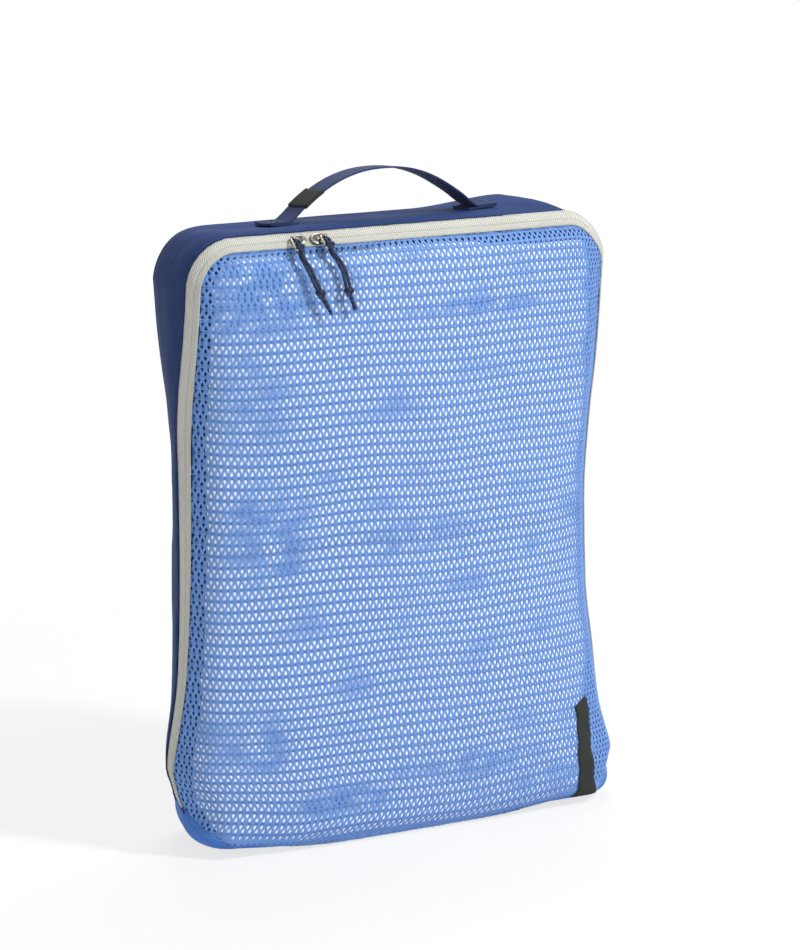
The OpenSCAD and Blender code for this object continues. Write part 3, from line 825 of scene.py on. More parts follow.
def sagging_wall(i, v):
    p = wall(i, v)
    ease = math.sin(math.pi * v) ** 0.7
    standing = 1 - smooth(station(FRONT, i).foot)
    fold = (creases(p + Vector((0, 500, 0)), 60, 1.7) + creases(p, 21, 0.5)) * ease
    pucker = 0.35 * math.sin(i * 1.9 + 2 * noise.noise(p / 30)) * math.exp(-v / 0.07)
    return wall(i, v, standing * (seam_lift(v) + fold + pucker) + (1 - standing) * min(0, seam_lift(v)))


def wall_piece(name, first, last, finish, replaces):
    """The cloth of the gusset or the bottom, from one station to another."""
    rows = len(WALL_ROWS) - 1
    bm = rim_grid(first, last, rows, lambda i, v: sagging_wall(i, WALL_ROWS[round(v * rows)]), BODY_D)
    return thicken(make_piece(name, face_away(bm), finish, "shell", [replaces]), 0.7)


NAVY_FIRST = ZIP_FIRST + 1
NAVY_LAST = ZIP_LAST - 1
wall_piece("gusset_cloth", NAVY_FIRST, NAVY_LAST, navy_cloth, "gusset")
wall_piece("bottom_cloth", NAVY_LAST, NAVY_FIRST + RIM_N, blue_cloth, "bottom_panel")


def back_surface(x, z):
    mid = BODY_H / 2
    u = min(1, abs(x) / back_x(z))
    v = min(1, abs(z - mid) / (BACK_Z - mid))
    dome = (1 - u**4) * (1 - v**4)
    return Vector((x, BACK_Y + 0.8 + BACK_CROWN * dome + creases(Vector((x, 90, z)), 75, 1.3) * dome**0.5, z))


def back_piece():
    mid = BODY_H / 2

    def put(u, v):
        s = station(BACK, (u * RIM_N) % RIM_N)
        r = 1 - v
        return back_surface(s.x * r, mid + (s.z - mid) * r)

    bm = grid(RIM_N, 30, put, (1400, 200), loop=True)
    for face in bm.faces:
        for corner in face.loops:
            corner[bm.loops.layers.uv["Pattern"]].uv = (corner.vert.co.x, corner.vert.co.z)
    face_away(bm)
    return thicken(make_piece("back_cloth", bm, navy_cloth, "shell", ["back_panel"]), 0.7)


back_piece()


def seam_line(first, last, v):
    """Points along the gusset beside a seam, with the outward direction at each."""
    line = []
    for i in range(first, last + 1):
        p = sagging_wall(i, v)
        along = sagging_wall(i + 0.5, v) - sagging_wall(i - 0.5, v)
        deep = sagging_wall(i, v + 0.01) - sagging_wall(i, v - 0.01)
        out = along.cross(deep).normalized()
        if out.dot(p - MIDDLE) < 0:
            out = -out
        line.append((p + STITCH_LIFT * out, out))
    return line


SEAM_STITCHES = [
    ("gusset_topstitch", NAVY_FIRST, NAVY_LAST, SEAM_V, navy_thread),
    ("back_topstitch", NAVY_FIRST, NAVY_LAST, 1 - SEAM_V, navy_thread),
    ("bottom_topstitch", NAVY_LAST + 1, NAVY_FIRST + RIM_N - 1, SEAM_V, blue_thread),
]
SEAM_PITCH = 3.4
SEAM_THREAD_R = 0.28
for name, first, last, v, thread in SEAM_STITCHES:
    sewn = stitches([seam_line(first, last, v)], SEAM_PITCH, SEAM_THREAD_R)
    make_piece(name, sewn, thread, "shell")


def hem_piece():
    """The rolled hem that the flap turns on."""
    half = zip_x(HINGE_Z + FOOT_R) - FOOT_R
    points = []
    for x in spread(-half, half, 80):
        wobble = 0.12 * noise.noise(Vector((x / 9, 3, 0)))
        points.append(slump(Vector((x, HINGE_Y + wobble, HINGE_Z + 0.5 * wobble))))
    mesh = tube(points, HEM_R - 0.12, sides=4)
    return dress("hinge_hem_roll", mesh, blue_cloth, "shell", ["hinge_hem"])


hem_piece()


# Zip


def zip_strip(name, a0, a1, b, finish, body, replaces, thickness, rows=6):
    """A strip of cloth along the zip, from a0 to a1 across, with its outer face at b."""

    def put(i, v):
        a = lerp(a0, a1, v)
        if a > 0:
            a *= flap_tape_w(station(FRONT, i)) / TAPE_W
        wave = 0.12 * noise.noise(Vector((i / 5, a / 4, 7)))
        dip = 0.1 * math.exp(-(a**2))
        return across(i, a, b + wave - dip)

    bm = rim_grid(ZIP_FIRST, ZIP_LAST, rows, put, abs(a1 - a0))
    return thicken(make_piece(name, face_away(bm), finish, body, replaces), thickness)


TAPE_GAP = 0.04
zip_strip(
    "gusset_tape", -TAPE_W, -TAPE_GAP, TAPE_T / 2, zip_tape, "shell", ["gusset_zip_tape"], TAPE_T
)
zip_strip(
    "flap_tape", TAPE_GAP, TAPE_W, TAPE_T / 2, zip_tape, "front_flap", ["flap_zip_tape"], TAPE_T
)
zip_strip(
    "gusset_binding",
    -6.2,
    -4.9,
    -TAPE_T / 2 - 0.15,
    binding_cloth,
    "shell",
    ["gusset_seam_binding"],
    1,
    2,
)


def coil_piece(name, side, body, replaces):
    """Half of the coil, wound behind its tape."""
    pitch, cuts = 1.5, 8
    points = []
    i = ZIP_FIRST
    turn = 0
    while i < ZIP_LAST:
        a = side * (0.3 + 0.5 * COIL_W * (1 + math.cos(turn)))
        b = -TAPE_T / 2 - 0.3 - 0.5 * (COIL_H - 0.5) * (1 + math.sin(turn))
        points.append(slump(across(i, a, b)))
        turn += 2 * math.pi / cuts
        i += pitch / cuts / (across(i + 0.5, 0, 0) - across(i - 0.5, 0, 0)).length
    return dress(name, tube(points, 0.26, sides=0), coil_nylon, body, [replaces])


coil_piece("gusset_coil", -1, "shell", "gusset_zip_coil")
coil_piece("flap_coil", 1, "front_flap", "flap_zip_coil")


def tape_line(share):
    """Points along a tape at a share of its width."""
    line = []
    for i in range(ZIP_FIRST, ZIP_LAST + 1):
        a = share * (flap_tape_w(station(FRONT, i)) if share > 0 else TAPE_W)
        out = across(i, a, 1) - across(i, a, 0)
        line.append((across(i, a, TAPE_T / 2 + STITCH_LIFT), out))
    return line


TAPE_STITCHES = [("gusset_tape_stitch", -0.86, "shell"), ("flap_tape_stitch", 0.85, "front_flap")]
TAPE_PITCH = 2.6
TAPE_THREAD_R = 0.17
for name, share, body in TAPE_STITCHES:
    sewn = stitches([tape_line(share)], TAPE_PITCH, TAPE_THREAD_R)
    make_piece(name, sewn, pale_thread, body)


def end_stop_lines():
    """Sewn bars across the lower ends of the zip."""
    lines = []
    for i in (ZIP_FIRST - 2, ZIP_LAST + 2):
        for k in range(5):
            out = across(i, 0, 1) - across(i, 0, 0)
            near = i + 0.22 * (k - 2)
            lines.append([(across(near, a, 0.3), out) for a in (-4, -0.4)])
    return lines


bars = stitches(end_stop_lines(), 3.6, 0.3, 1)
make_piece("zip_end_bars", bars, navy_thread, "shell", ["zip_end_stops"])


# Net front


# The net is laid out flat in steps, drawn together beyond a place at the right
STEP = 2
REACH = 200
FLAT_REACH = 226
CLOSE_FROM = 40
CLOSE = 0.00095


def centre_heights():
    """Heights at equal steps along the middle of the net, so that its rows keep their distance."""
    heights = spread(0, ZIP_Z + 16, 460)
    points = [flap_surface(0, z)[0] for z in heights]
    run = [0]
    for p, q in zip(points, points[1:]):
        run.append(run[-1] + (q - p).length)
    found, k = [], 0
    for n in range(int(run[-1] / STEP)):
        while run[k + 1] < n * STEP:
            k += 1
        found.append(lerp(heights[k], heights[k + 1], (n * STEP - run[k]) / (run[k + 1] - run[k])))
    return found


def row_widths(z):
    """Distances from the middle at equal steps along one row of the net."""
    found, x, done = [0], 0, 0
    last = flap_surface(0, z)[0]
    while len(found) * STEP <= REACH:
        x += 0.8
        here = flap_surface(x, z)[0]
        step = max(1e-6, (here - last).length)
        while done + step >= len(found) * STEP and len(found) * STEP <= REACH:
            found.append(x - 0.8 + 0.8 * (len(found) * STEP - done) / step)
        done += step
        last = here
    return found


net_heights = centre_heights()
net_widths = [row_widths(z) for z in net_heights]


def net_spot(s, t):
    """x and z of a point of the flat net, s along its row and t up."""
    row = min(len(net_heights) - 1.001, max(0, t / STEP))
    col = min(len(net_widths[0]) - 1.001, abs(s) / STEP)
    r, c = int(row), int(col)
    low = lerp(net_widths[r][c], net_widths[r][c + 1], col - c)
    high = lerp(net_widths[r + 1][c], net_widths[r + 1][c + 1], col - c)
    z = lerp(net_heights[r], net_heights[r + 1], row - r)
    return math.copysign(lerp(low, high, row - r), s), z


def drift(s, t, seed):
    """How far the stretched net strays from even rows."""
    return 3.2 * noise.noise(Vector((s / 85, t / 85, seed)))


def worn_spot(p):
    """x and z of a point of the flat net as it hangs: a little uneven, and drawn together at the right."""
    s, t = p.x + drift(p.x, p.y, 11), p.y + drift(p.x, p.y, 57)
    return net_spot(s - CLOSE * max(0, s - CLOSE_FROM) ** 2, t)


def over_hem(p):
    """Whether a gap of the flat net lies on the bottom edge, where the net is doubled."""
    x, z = worn_spot(p)
    return z < 14 and flap_surface(x, z)[1] < 5.5


def shape_gap(gap):
    """Rounds a gap with three corners and three middles into a drop that stands on its band."""
    centre = gap.calc_center_median()
    left = smooth((-20 - centre.x) / 80)
    hole_w = HOLE_W * (1 + 0.08 * left)
    hole_l = HOLE_L * (1 - 0.08 * left)
    hole_in = HOLE_IN * (1 + 0.15 * left)
    row = math.floor(centre.y / NET_PERIOD) * NET_PERIOD
    up = 1 if centre.y - row < NET_STRIP / 2 else -1
    base = row if up > 0 else row + NET_STRIP
    for vert in gap.verts:
        corner = len(vert.link_edges) == 3
        off = vert.co.x - centre.x
        if abs(off) < 0.3:
            wide, long = 0, 1 if corner else 0
        else:
            wide, long = math.copysign(0.34 if corner else 0.46, off), 0.08 if corner else 0.38
        vert.co = (centre.x + wide * hole_w, base + up * (hole_in + long * hole_l), 0)


def flat_net(first, last):
    """Strips of pointed gaps between closed bands, flat, from one strip to another."""
    half = math.ceil(FLAT_REACH / NET_PITCH) - 1
    strips = last - first
    bm = bmesh.new()
    bmesh.ops.create_grid(bm, x_segments=2 * half, y_segments=2 * strips, size=0.5)
    for vert in bm.verts:
        line = 2 * first + round((vert.co.y + 0.5) * 2 * strips)
        shift = 0.5 if line % 4 in (1, 2) else 0
        x = (2 * half * vert.co.x + shift) * NET_PITCH
        vert.co = (x, line // 2 * NET_PERIOD + line % 2 * NET_STRIP, 0)
    gaps = [f for f in bm.faces if (f.calc_center_median().y / NET_PERIOD) % 1 < NET_STRIP / NET_PERIOD]
    gaps = bmesh.ops.triangulate(bm, faces=gaps, quad_method="SHORT_EDGE")["faces"]
    bmesh.ops.inset_individual(bm, faces=gaps, thickness=NET_THREAD, use_even_offset=True)
    edges = {e for f in gaps for e in f.edges}
    bmesh.ops.subdivide_edges(bm, edges=list(edges), cuts=1)
    for gap in gaps:
        shape_gap(gap)
    through = [gap for gap in gaps if not over_hem(gap.calc_center_median())]
    bmesh.ops.delete(bm, geom=through, context="FACES_ONLY")
    return bm


def net_piece(name, first, last):
    bm = flat_net(first, last)
    pattern = bm.loops.layers.uv.new("Pattern")
    for face in bm.faces:
        for corner in face.loops:
            corner[pattern].uv = corner.vert.co.xy
    outside = []
    bands = []
    for vert in bm.verts:
        t = vert.co.y
        p, inside = flap_surface(*worn_spot(vert.co))
        if inside < -TUCK:
            outside.append(vert)
        if t % NET_PERIOD < 0.01 or abs(t % NET_PERIOD - NET_STRIP) < 0.01:
            bands.append(vert)
        vert.co = p
    face_away(bm)
    bm.normal_update()
    for vert in bands:
        vert.co += BAND_RISE * vert.normal
    bmesh.ops.delete(bm, geom=outside, context="VERTS")
    obj = make_piece(name, bm, net_yarn, "front_flap", ["net_panel"])
    return thicken(obj, NET_T)


NET_STRIPS = math.ceil(len(net_heights) * STEP / NET_PERIOD)
net_piece("net_lower", 0, NET_STRIPS // 2)
net_piece("net_upper", NET_STRIPS // 2, NET_STRIPS)


def facing_piece(name, first, last, width, finish, replaces):
    """A folded strip behind the edge of the net, from one station to another."""

    def put(i, v):
        k = round(i) * EDGE_CUTS % len(edge_points)
        edge, s = edge_points[k], edge_stations[k]
        x, z = edge.x - width * v * s.out_x, edge.z - width * v * s.out_z
        return flap_surface(x, z)[0] - lerp(1.4, 0.3 * width, smooth(2 * v)) * flap_out(x, z)

    bm = rim_grid(first, last, 5, put, width)
    return thicken(make_piece(name, face_away(bm), finish, "front_flap", replaces), 0.8)


# The seam binding's painted lighter blue stands in for the light inside the bag.
facing_piece("flap_facing", ZIP_FIRST, ZIP_LAST, FACING_W, facing_painted_light, ["flap_seam_binding"])
facing_piece("flap_foot_facing", ZIP_LAST, ZIP_FIRST + RIM_N, 9, blue_cloth, [])


def outline_x(z):
    """Half the width of the flap at a height."""
    near = min((p for p in edge_points if p.x > 0), key=lambda p: abs(p.z - z))
    return near.x


# Hollows in the paper behind the net, which also get painted blue shade: x, z, half width, half height,
# strength
HOLLOWS = [
    (-132, 406, 36, 32, 1.2),
    (-102, 410, 36, 22, 0.9),
    (50, 388, 62, 8, 0.8),
    (-122, 330, 34, 40, 0.5),
    (-112, 236, 36, 42, 0.75),
    (-4, 226, 44, 14, 0.6),
    (-122, 84, 26, 30, 0.7),
    (-60, 36, 44, 14, 0.75),
    (46, 50, 58, 12, 0.6),
    (104, 28, 40, 12, 0.5),
]
PAPER_LOW = 5
PAPER_GAP = 0.33
PAPER_LEFT = 7
PAPER_RIGHT = 2.5
PAPER_DIP = 0.7
PAPER_FADE = 20


def paper_piece():
    """A sheet of tissue paper close behind the net, crumpled away from it in places."""

    def hollow(x, z):
        """How far the paper lies back and how much painted blue shade it gets: 0 against the net, 1 in a
        hollow and by the right edge.
        """
        fine = noise.noise(Vector((x / 15, 40, z / 9)))
        share = max(0, noise.noise(Vector((x / 34, 12, z / 22))) - 0.25) + 0.5 * max(0, fine - 0.3)
        for hx, hz, w, h, strength in HOLLOWS:
            away = ((x - hx) / w) ** 2 + ((z - hz) / h) ** 2
            share += strength * smooth(1.2 - away) * smooth(0.55 + 1.1 * fine)
        edge = outline_x(z) - PAPER_FADE * (1 + 0.8 * smooth((130 - z) / 60)) - 4 * fine
        return min(1, share + smooth((x - edge) / 10))

    def put(u, v):
        high = ZIP_Z - 6 - 8 * smooth((u - 0.55) / 0.3)
        z = lerp(PAPER_LOW, high, v)
        corner = 9 * smooth((z - 375) / 60)
        left, right = PAPER_LEFT - outline_x(z), outline_x(z) - PAPER_RIGHT - corner
        x = lerp(left + 1.5 * noise.noise(Vector((0, 9, z / 14))), right, u)
        p, inside = flap_surface(x, z)
        depth = PAPER_GAP + PAPER_DIP * hollow(x, z) + 2.5 * (1 - min(1, inside / 6)) ** 2
        return p - depth * flap_out(x, z)

    bm = grid(130, 170, put, (310, 400))
    # The painted blue shade of the hollows goes to the paper's finish as the depth attribute.
    shade = bm.verts.layers.float.new("depth")
    for vert in bm.verts:
        vert[shade] = hollow(vert.co.x, vert.co.z)
    obj = make_piece("paper_sheet", face_away(bm), paper_white, "front_flap")
    return thicken(obj, 0.4)


paper = paper_piece()


def front_label_piece():
    """The label sewn into the lower corner: a folded tape with a slanted top, a little wavy."""

    def put(u, v):
        slant = 6 * u
        z = LABEL_Z - 9 + (LABEL_L - 2 + slant) * v
        flare = 6 * (1 - u) * math.exp(-v / 0.07)
        wave = 0.9 * math.sin(9 * v + 0.6) + 0.5 * math.sin(23 * v)
        x = LABEL_X + LABEL_W * (u - 0.5) - flare + wave
        p = flap_surface(x, z)[0]
        lift = 0.95 + 0.35 * math.sin(14 * v + 3 * u)
        return p + lift * flap_out(x, z)

    bm = grid(6, 44, put, (LABEL_W, LABEL_L))
    obj = make_piece("front_label_tape", face_away(bm), label_black, "front_flap", ["front_label"])
    return thicken(obj, 0.8)


front_label_piece()


# Handle


def strap_path():
    """The webbing's middle line: sewn-down ply, fold, upper ply and arch, from left to right."""
    low = STRAP_Z + PLY_T / 2
    high = low + PLY_T
    end = HALF_SPAN + END_L - PLY_T / 2
    half = [Vector((HALF_SPAN - 4, 0, low)), Vector((HALF_SPAN + 3, 0, low)), Vector((end - 2, 0, low))]
    for a in (-60, -20, 20, 60):
        turn = math.radians(a)
        half.append(Vector((end + PLY_T / 2 * math.cos(turn), 0, low + PLY_T / 2 * (1 + math.sin(turn)))))
    upper = [(end - 2, high), (HALF_SPAN + 8, high), (HALF_SPAN + 3, high + 0.1)]
    half += [Vector((x, 0, z)) for x, z in upper]
    half += [Vector((x, 0, arch(x))) for x in spread(HALF_SPAN - 3, 8, 12)]
    other = [Vector((-p.x, 0, p.z)) for p in half]
    return curve_through(other + [Vector((0, 0, arch(0)))] + half[::-1], 5)


def handle_blend(obj):
    """Bakes a piece's place into its mesh; the heights of the sewn-down ends and of the grip are worked out
    but not used.
    """
    foot, top = (Vector((0, STRAP_Y, z)) * MM for z in (ARCH_Z - 0.6, arch(LEG_X) + 2))
    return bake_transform(obj)


def strap_piece():
    path = strap_path()

    def put(u, v):
        p = path[round(u * (len(path) - 1))]
        y = STRAP_Y + STRAP_W * (v - 0.5)
        cup = 0.5 * (2 * v - 1) ** 2 * smooth((p.z - ARCH_Z - 6) / 12)
        return Vector((p.x, y, p.z - cup))

    bm = grid(len(path) - 1, 8, put, (run_length(path), STRAP_W))
    bm.normal_update()
    nodes = ["handle_end_left", "handle_end_right", "handle_leg_left", "handle_leg_right", "handle_grip"]
    obj = make_piece("handle_strap", bm, webbing, None, nodes)
    thicken(obj, PLY_T - 0.1, 0)
    soft = obj.modifiers.new("Soft edge", "BEVEL")
    soft.width = 0.35 * MM
    soft.segments = 2
    soft.limit_method = "ANGLE"
    return handle_blend(obj)


strap_piece()


def handle_stitch_lines():
    """A sewn box with a cross on each end of the webbing."""
    lines = []
    z = STRAP_Z + 2 * PLY_T + 0.02
    up = Vector((0, 0, 1))
    near, far = HALF_SPAN + 5, HALF_SPAN + END_L - 3
    wide = STRAP_W / 2 - 2.5
    corners = ((near, -wide), (far, -wide), (far, wide), (near, wide))
    for side in (-1, 1):
        a, b, c, d = (Vector((side * x, STRAP_Y + y, z)) for x, y in corners)
        for p, q in ((a, b), (b, c), (c, d), (d, a), (a, c), (b, d)):
            lines.append([(p, up), (q, up)])
    return lines


boxes = stitches(handle_stitch_lines(), 2.2, 0.26)
make_piece("handle_box_stitch", boxes, navy_thread, "shell", ["handle_stitching"])


def handle_label_piece():
    """The bare label wrapped round the webbing."""
    x0 = -5 - LEG_X
    half_w, half_t = STRAP_W / 2 + 0.7, PLY_T / 2 + 0.75
    ring = [(-half_w, -half_t), (half_w, -half_t), (half_w, half_t), (-half_w, half_t)]

    def put(u, v):
        x = x0 + WRAP_L * u
        slope = math.atan2(arch(x + 0.5) - arch(x - 0.5), 1)
        around = v * 4
        k = int(around) % 4
        y, t = (lerp(p, q, around - int(around)) for p, q in zip(ring[k], ring[(k + 1) % 4]))
        return Vector((x - t * math.sin(slope), STRAP_Y + y, arch(x) + t * math.cos(slope)))

    bm = grid(8, 24, put, (WRAP_L, 56), loop=True)
    bmesh.ops.recalc_face_normals(bm, faces=bm.faces)
    obj = make_piece("handle_wrap", bm, label_black, None, ["handle_label"], sharp=50)
    return handle_blend(thicken(obj, 0.45))


handle_label_piece()


# Sliders and pulls


def turned(profile, steps=36):
    """A bmesh turned from a profile of radius and height."""
    bm = bmesh.new()
    line = [bm.verts.new((r, 0, h)) for r, h in profile]
    edges = [bm.edges.new(pair) for pair in zip(line, line[1:])]
    bmesh.ops.spin(
        bm,
        geom=line + edges,
        cent=(0, 0, 0),
        axis=(0, 0, 1),
        angle=2 * math.pi,
        steps=steps,
        use_merge=True,
    )
    bmesh.ops.remove_doubles(bm, verts=bm.verts, dist=0.001)
    bmesh.ops.recalc_face_normals(bm, faces=bm.faces)
    return bm


def add_box(bm, size, centre, round_off=0.25):
    made = bmesh.ops.create_cube(bm, size=1, matrix=Matrix.Translation(centre) @ Matrix.Diagonal((*size, 1)))
    edges = list({e for v in made["verts"] for e in v.link_edges})
    bmesh.ops.bevel(
        bm,
        geom=edges,
        offset=round_off,
        segments=2,
        profile=0.5,
        affect="EDGES",
        material=-1,
        clamp_overlap=True,
    )


def join(bm, other, matrix):
    """Adds another bmesh to this one at a place."""
    bmesh.ops.transform(other, matrix=matrix, verts=other.verts)
    mesh = bpy.data.meshes.new("joined")
    other.to_mesh(mesh)
    other.free()
    bm.from_mesh(mesh)
    bpy.data.meshes.remove(mesh)


def slider_form():
    """A slider in its own frame: x along the zip to its nose, y away from the flap, z outwards."""
    bm = bmesh.new()
    half = SLIDER_W / 2
    long = Matrix.Diagonal((SLIDER_L / SLIDER_W, 1, 1, 1))
    top = [(0, 0.0), (half - 0.4, 0.0), (half, 0.25), (half, 0.7), (half - 0.2, 1.05), (half - 0.7, 1.25)]
    top += [(half - 1.15, 1.12), (half - 1.35, 0.85), (1.9, 0.95), (1.3, 1.35), (0.7, 1.6), (0, 1.7)]
    join(bm, turned(top), Matrix.Translation((0, 0, SLIDER_FLOOR)) @ long)
    low = -TAPE_T / 2 - COIL_H - CLEAR
    under = [(0, 0), (half - 0.3, 0), (half, -0.3), (half, -0.8), (half - 0.4, -1.15), (0, -1.2)]
    join(bm, turned(under), Matrix.Translation((0, 0, low)) @ long)
    add_box(bm, (3, 0.9, SLIDER_FLOOR - low + 0.8), (SLIDER_L / 2 - 2.1, 0, (SLIDER_FLOOR + low) / 2))
    for side in (-1, 1):
        add_box(bm, (4.4, 1.1, COIL_H + 0.4), (0, side * (half - 0.55), low + 0.5 * COIL_H - 0.3))
    lug = [(0.95, -1.5), (1.3, -1.5), (1.5, -1.25), (1.5, 1.25), (1.3, 1.5), (0.95, 1.5), (0.95, -1.5)]
    join(bm, turned(lug, 28), Matrix.Translation(PIVOT) @ Matrix.Rotation(math.pi / 2, 4, "Y"))
    foot = PIVOT.z - SLIDER_FLOOR - 1.1
    add_box(bm, (3, 2.6, foot), (PIVOT.x, PIVOT.y, SLIDER_FLOOR + 0.5 * foot + 0.4), 0.3)
    return bm


def at_slider(x, side):
    """Places a form on the zip: side is -1 for a slider that looks the other way."""
    where = Matrix.Translation((x, zip_y(ZIP_Z), ZIP_Z)) @ Matrix.Rotation(math.radians(TOP_TILT), 4, "X")
    return where @ Matrix.Diagonal((side, 1, 1, 1))


def slider_piece(name, x, side, body):
    bm = slider_form()
    bmesh.ops.transform(bm, matrix=at_slider(x, side) @ Matrix.Diagonal((1.1, 1.1, 1, 1)), verts=bm.verts)
    bmesh.ops.recalc_face_normals(bm, faces=bm.faces)
    return make_piece(name, bm, nickel, body, [body], sharp=40)


def bail_points():
    """The wire of a bail as a loop with round corners, in the slider's frame."""
    half, r = BAIL_W / 2, 1.1
    corners = [(-half, 0), (-half, -BAIL_L), (half, -BAIL_L), (half, 0)]
    inner = [(-1, -1, 90), (-1, 1, 180), (1, 1, 270), (1, -1, 0)]
    turn = Matrix.Translation(PIVOT) @ Matrix.Rotation(math.radians(-BAIL_LIFT), 4, "X")
    points = []
    for (x, y), (sx, sy, start) in zip(corners, inner):
        for k in range(6):
            a = math.radians(start + 18 * k)
            centre = Vector((x - sx * r, y + sy * r, 0))
            points.append(turn @ (centre + Vector((r * math.cos(a), r * math.sin(a), 0))))
    return points


def bail_piece(name, x, side, body, node):
    where = at_slider(x, side)
    mesh = tube([where @ p for p in bail_points()], WIRE_R, closed=True, sides=4)
    return dress(name, mesh, wire_metal, body, [node])


# Centre of each pull cord from its slider, then its knot and the tip of its tail
LEFT_ROUTE = [(-4, -14, -9), (-1.5, -15.5, -14), (1, -16.5, -19), (3.5, -17.5, -25)]
LEFT_KNOT = Vector((7.8, -19, -35))
LEFT_TAIL = Vector((16, -20, -50))
RIGHT_ROUTE = [(5, -14, -8), (8.5, -15.5, -13), (11, -16.5, -18), (13, -17.5, -24)]
RIGHT_KNOT = Vector((15, -19, -35))
RIGHT_TAIL = Vector((19.5, -20, -48))
CORD_WAY = 1.25
BIGHT_W = 1.2
BIGHT_L = 6.6


def strand_points(x, side, route, knot, front):
    """One strand of a doubled cord: from the top of the bail's lower bar down to the knot."""
    origin = Vector((x, zip_y(ZIP_Z), ZIP_Z))
    bar = at_slider(x, side) @ (
        PIVOT + Matrix.Rotation(math.radians(-BAIL_LIFT), 4, "X") @ Vector((0, -BAIL_L, 0))
    )
    wide = WIRE_R + CLEAR * 0.5 + CORD_R
    points = []
    for a in (90, 45, 0):
        turn = math.radians(a)
        points.append(bar + wide * Vector((0, front * math.cos(turn), math.sin(turn))))
    centre = [origin + Vector(p) for p in route] + [origin + knot]
    for k, p in enumerate(centre):
        share = min(1, (k + 1) / 2)
        beside, around = Vector((-front * CORD_WAY, 0.35 * front, 0)), Vector((0, front * wide, 0))
        points.append(p + (beside * share + around * (1 - share)))
    return curve_through(points, 6)


def knot_points(centre, size):
    """The line of an overhand knot."""
    points = []
    for k in range(72):
        t = 2 * math.pi * k / 72
        x, z = math.sin(t) + 2 * math.sin(2 * t), math.cos(t) - 2 * math.cos(2 * t)
        points.append(centre + size / 3 * Vector((x, -0.9 * math.sin(3 * t), z)))
    return points


def pull_pieces(hand, x, side, route, knot, tail, flare):
    body = f"{hand}_pull"
    origin = Vector((x, zip_y(ZIP_Z), ZIP_Z))
    bail_piece(f"{hand}_bail_wire", x, side, body, f"{hand}_bail")
    lumps = dress(
        f"{hand}_knot",
        tube(knot_points(origin + knot, KNOT_R - CORD_R + 0.5), CORD_R * 1.05, closed=True, sides=4),
        pull_braid,
        body,
        [f"{hand}_cord_knot"],
    )
    way = (tail - knot).normalized()
    tail_line = [origin + knot + way * d for d in spread(1, (tail - knot).length, 12)]
    end = dress(
        f"{hand}_tail",
        tube(tail_line, CORD_R * 1.45, sides=4, taper=flare),
        pull_braid,
        body,
    )
    strands = []
    for name, front in (("front", -1), ("back", 1)):
        points = strand_points(x, side, route, knot, front)
        obj = dress(f"{hand}_cord_{name}", tube(points, CORD_R, sides=4), pull_braid, body)
        strands.append((obj, points))
    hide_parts(f"{hand}_pull_cord")
    for (obj, points), pieces in zip(strands, ([lumps, end], [])):
        points[0] * MM
        run_length(points) * MM
        [p * MM for p in points]
    where = at_slider(x, side) @ Matrix.Translation(PIVOT) @ Matrix.Rotation(math.radians(-BAIL_LIFT), 4, "X")
    bar = -BAIL_L
    bight = [Vector((-BIGHT_W, bar - 1.5, 1.2)), Vector((-BIGHT_W, bar + 1.5, 2))]
    for a in (170, 130, 90, 50, 10):
        turn = math.radians(a)
        bight.append(Vector((BIGHT_W * math.cos(turn), bar + BIGHT_L + BIGHT_W * math.sin(turn), 1.8)))
    bight += [Vector((BIGHT_W, bar + 1.5, 2)), Vector((BIGHT_W, bar - 1.5, 1.2))]
    line = [where @ p for p in curve_through(bight, 5)]
    dress(f"{hand}_cord_bight", tube(line, CORD_R, sides=4), pull_braid, body)
    collar = []
    for k in range(28):
        a = 2 * math.pi * k / 28
        slant = 0.5 * math.cos(a)
        collar.append(where @ Vector((2.5 * math.cos(a), bar + 1.6 + slant, 1.9 + 1.7 * math.sin(a))))
    mesh = tube(collar, CORD_R, closed=True, sides=4)
    dress(f"{hand}_cord_collar", mesh, pull_braid, body)


slider_piece("left_slider_body", LEFT_SLIDER_X, 1, "left_slider")
slider_piece("right_slider_body", RIGHT_SLIDER_X, -1, "right_slider")
pull_pieces("left", LEFT_SLIDER_X, 1, LEFT_ROUTE, LEFT_KNOT, LEFT_TAIL, lambda t: 1.12 - 0.55 * t**2)
pull_pieces(
    "right", RIGHT_SLIDER_X, -1, RIGHT_ROUTE, RIGHT_KNOT, RIGHT_TAIL, lambda t: 0.95 - 0.3 * t + 0.5 * t**3
)


def seam_binding_piece():
    """The folded tape over the back seam, inside."""

    def put(u, v):
        s = station(BACK, (u * RIM_N) % RIM_N)
        return place(s, BACK_Y - 0.3 - 0.3 * math.sin(math.pi * v), -1.7 - 4 * v, 0)

    bm = grid(RIM_N, 4, put, (1400, 4), loop=True)
    bmesh.ops.recalc_face_normals(bm, faces=bm.faces)
    obj = make_piece("back_binding", bm, binding_cloth, "shell", ["back_seam_binding"])
    return thicken(obj, 0.9, 0)


seam_binding_piece()


paper_area = sum(p.area for p in paper.data.polygons)
paper_area / 0.33


# Stage: floor, light and camera


def light(name, where, size, power, target=(0, 0, 0.22)):
    lamp = bpy.data.lights.new(name, "AREA")
    lamp.shape = "DISK"
    lamp.size = size
    lamp.energy = power
    obj = bpy.data.objects.new(name, lamp)
    obj.location = where
    obj.rotation_euler = (Vector(target) - Vector(where)).to_track_quat("-Z", "Y").to_euler()
    scene.collection.objects.link(obj)


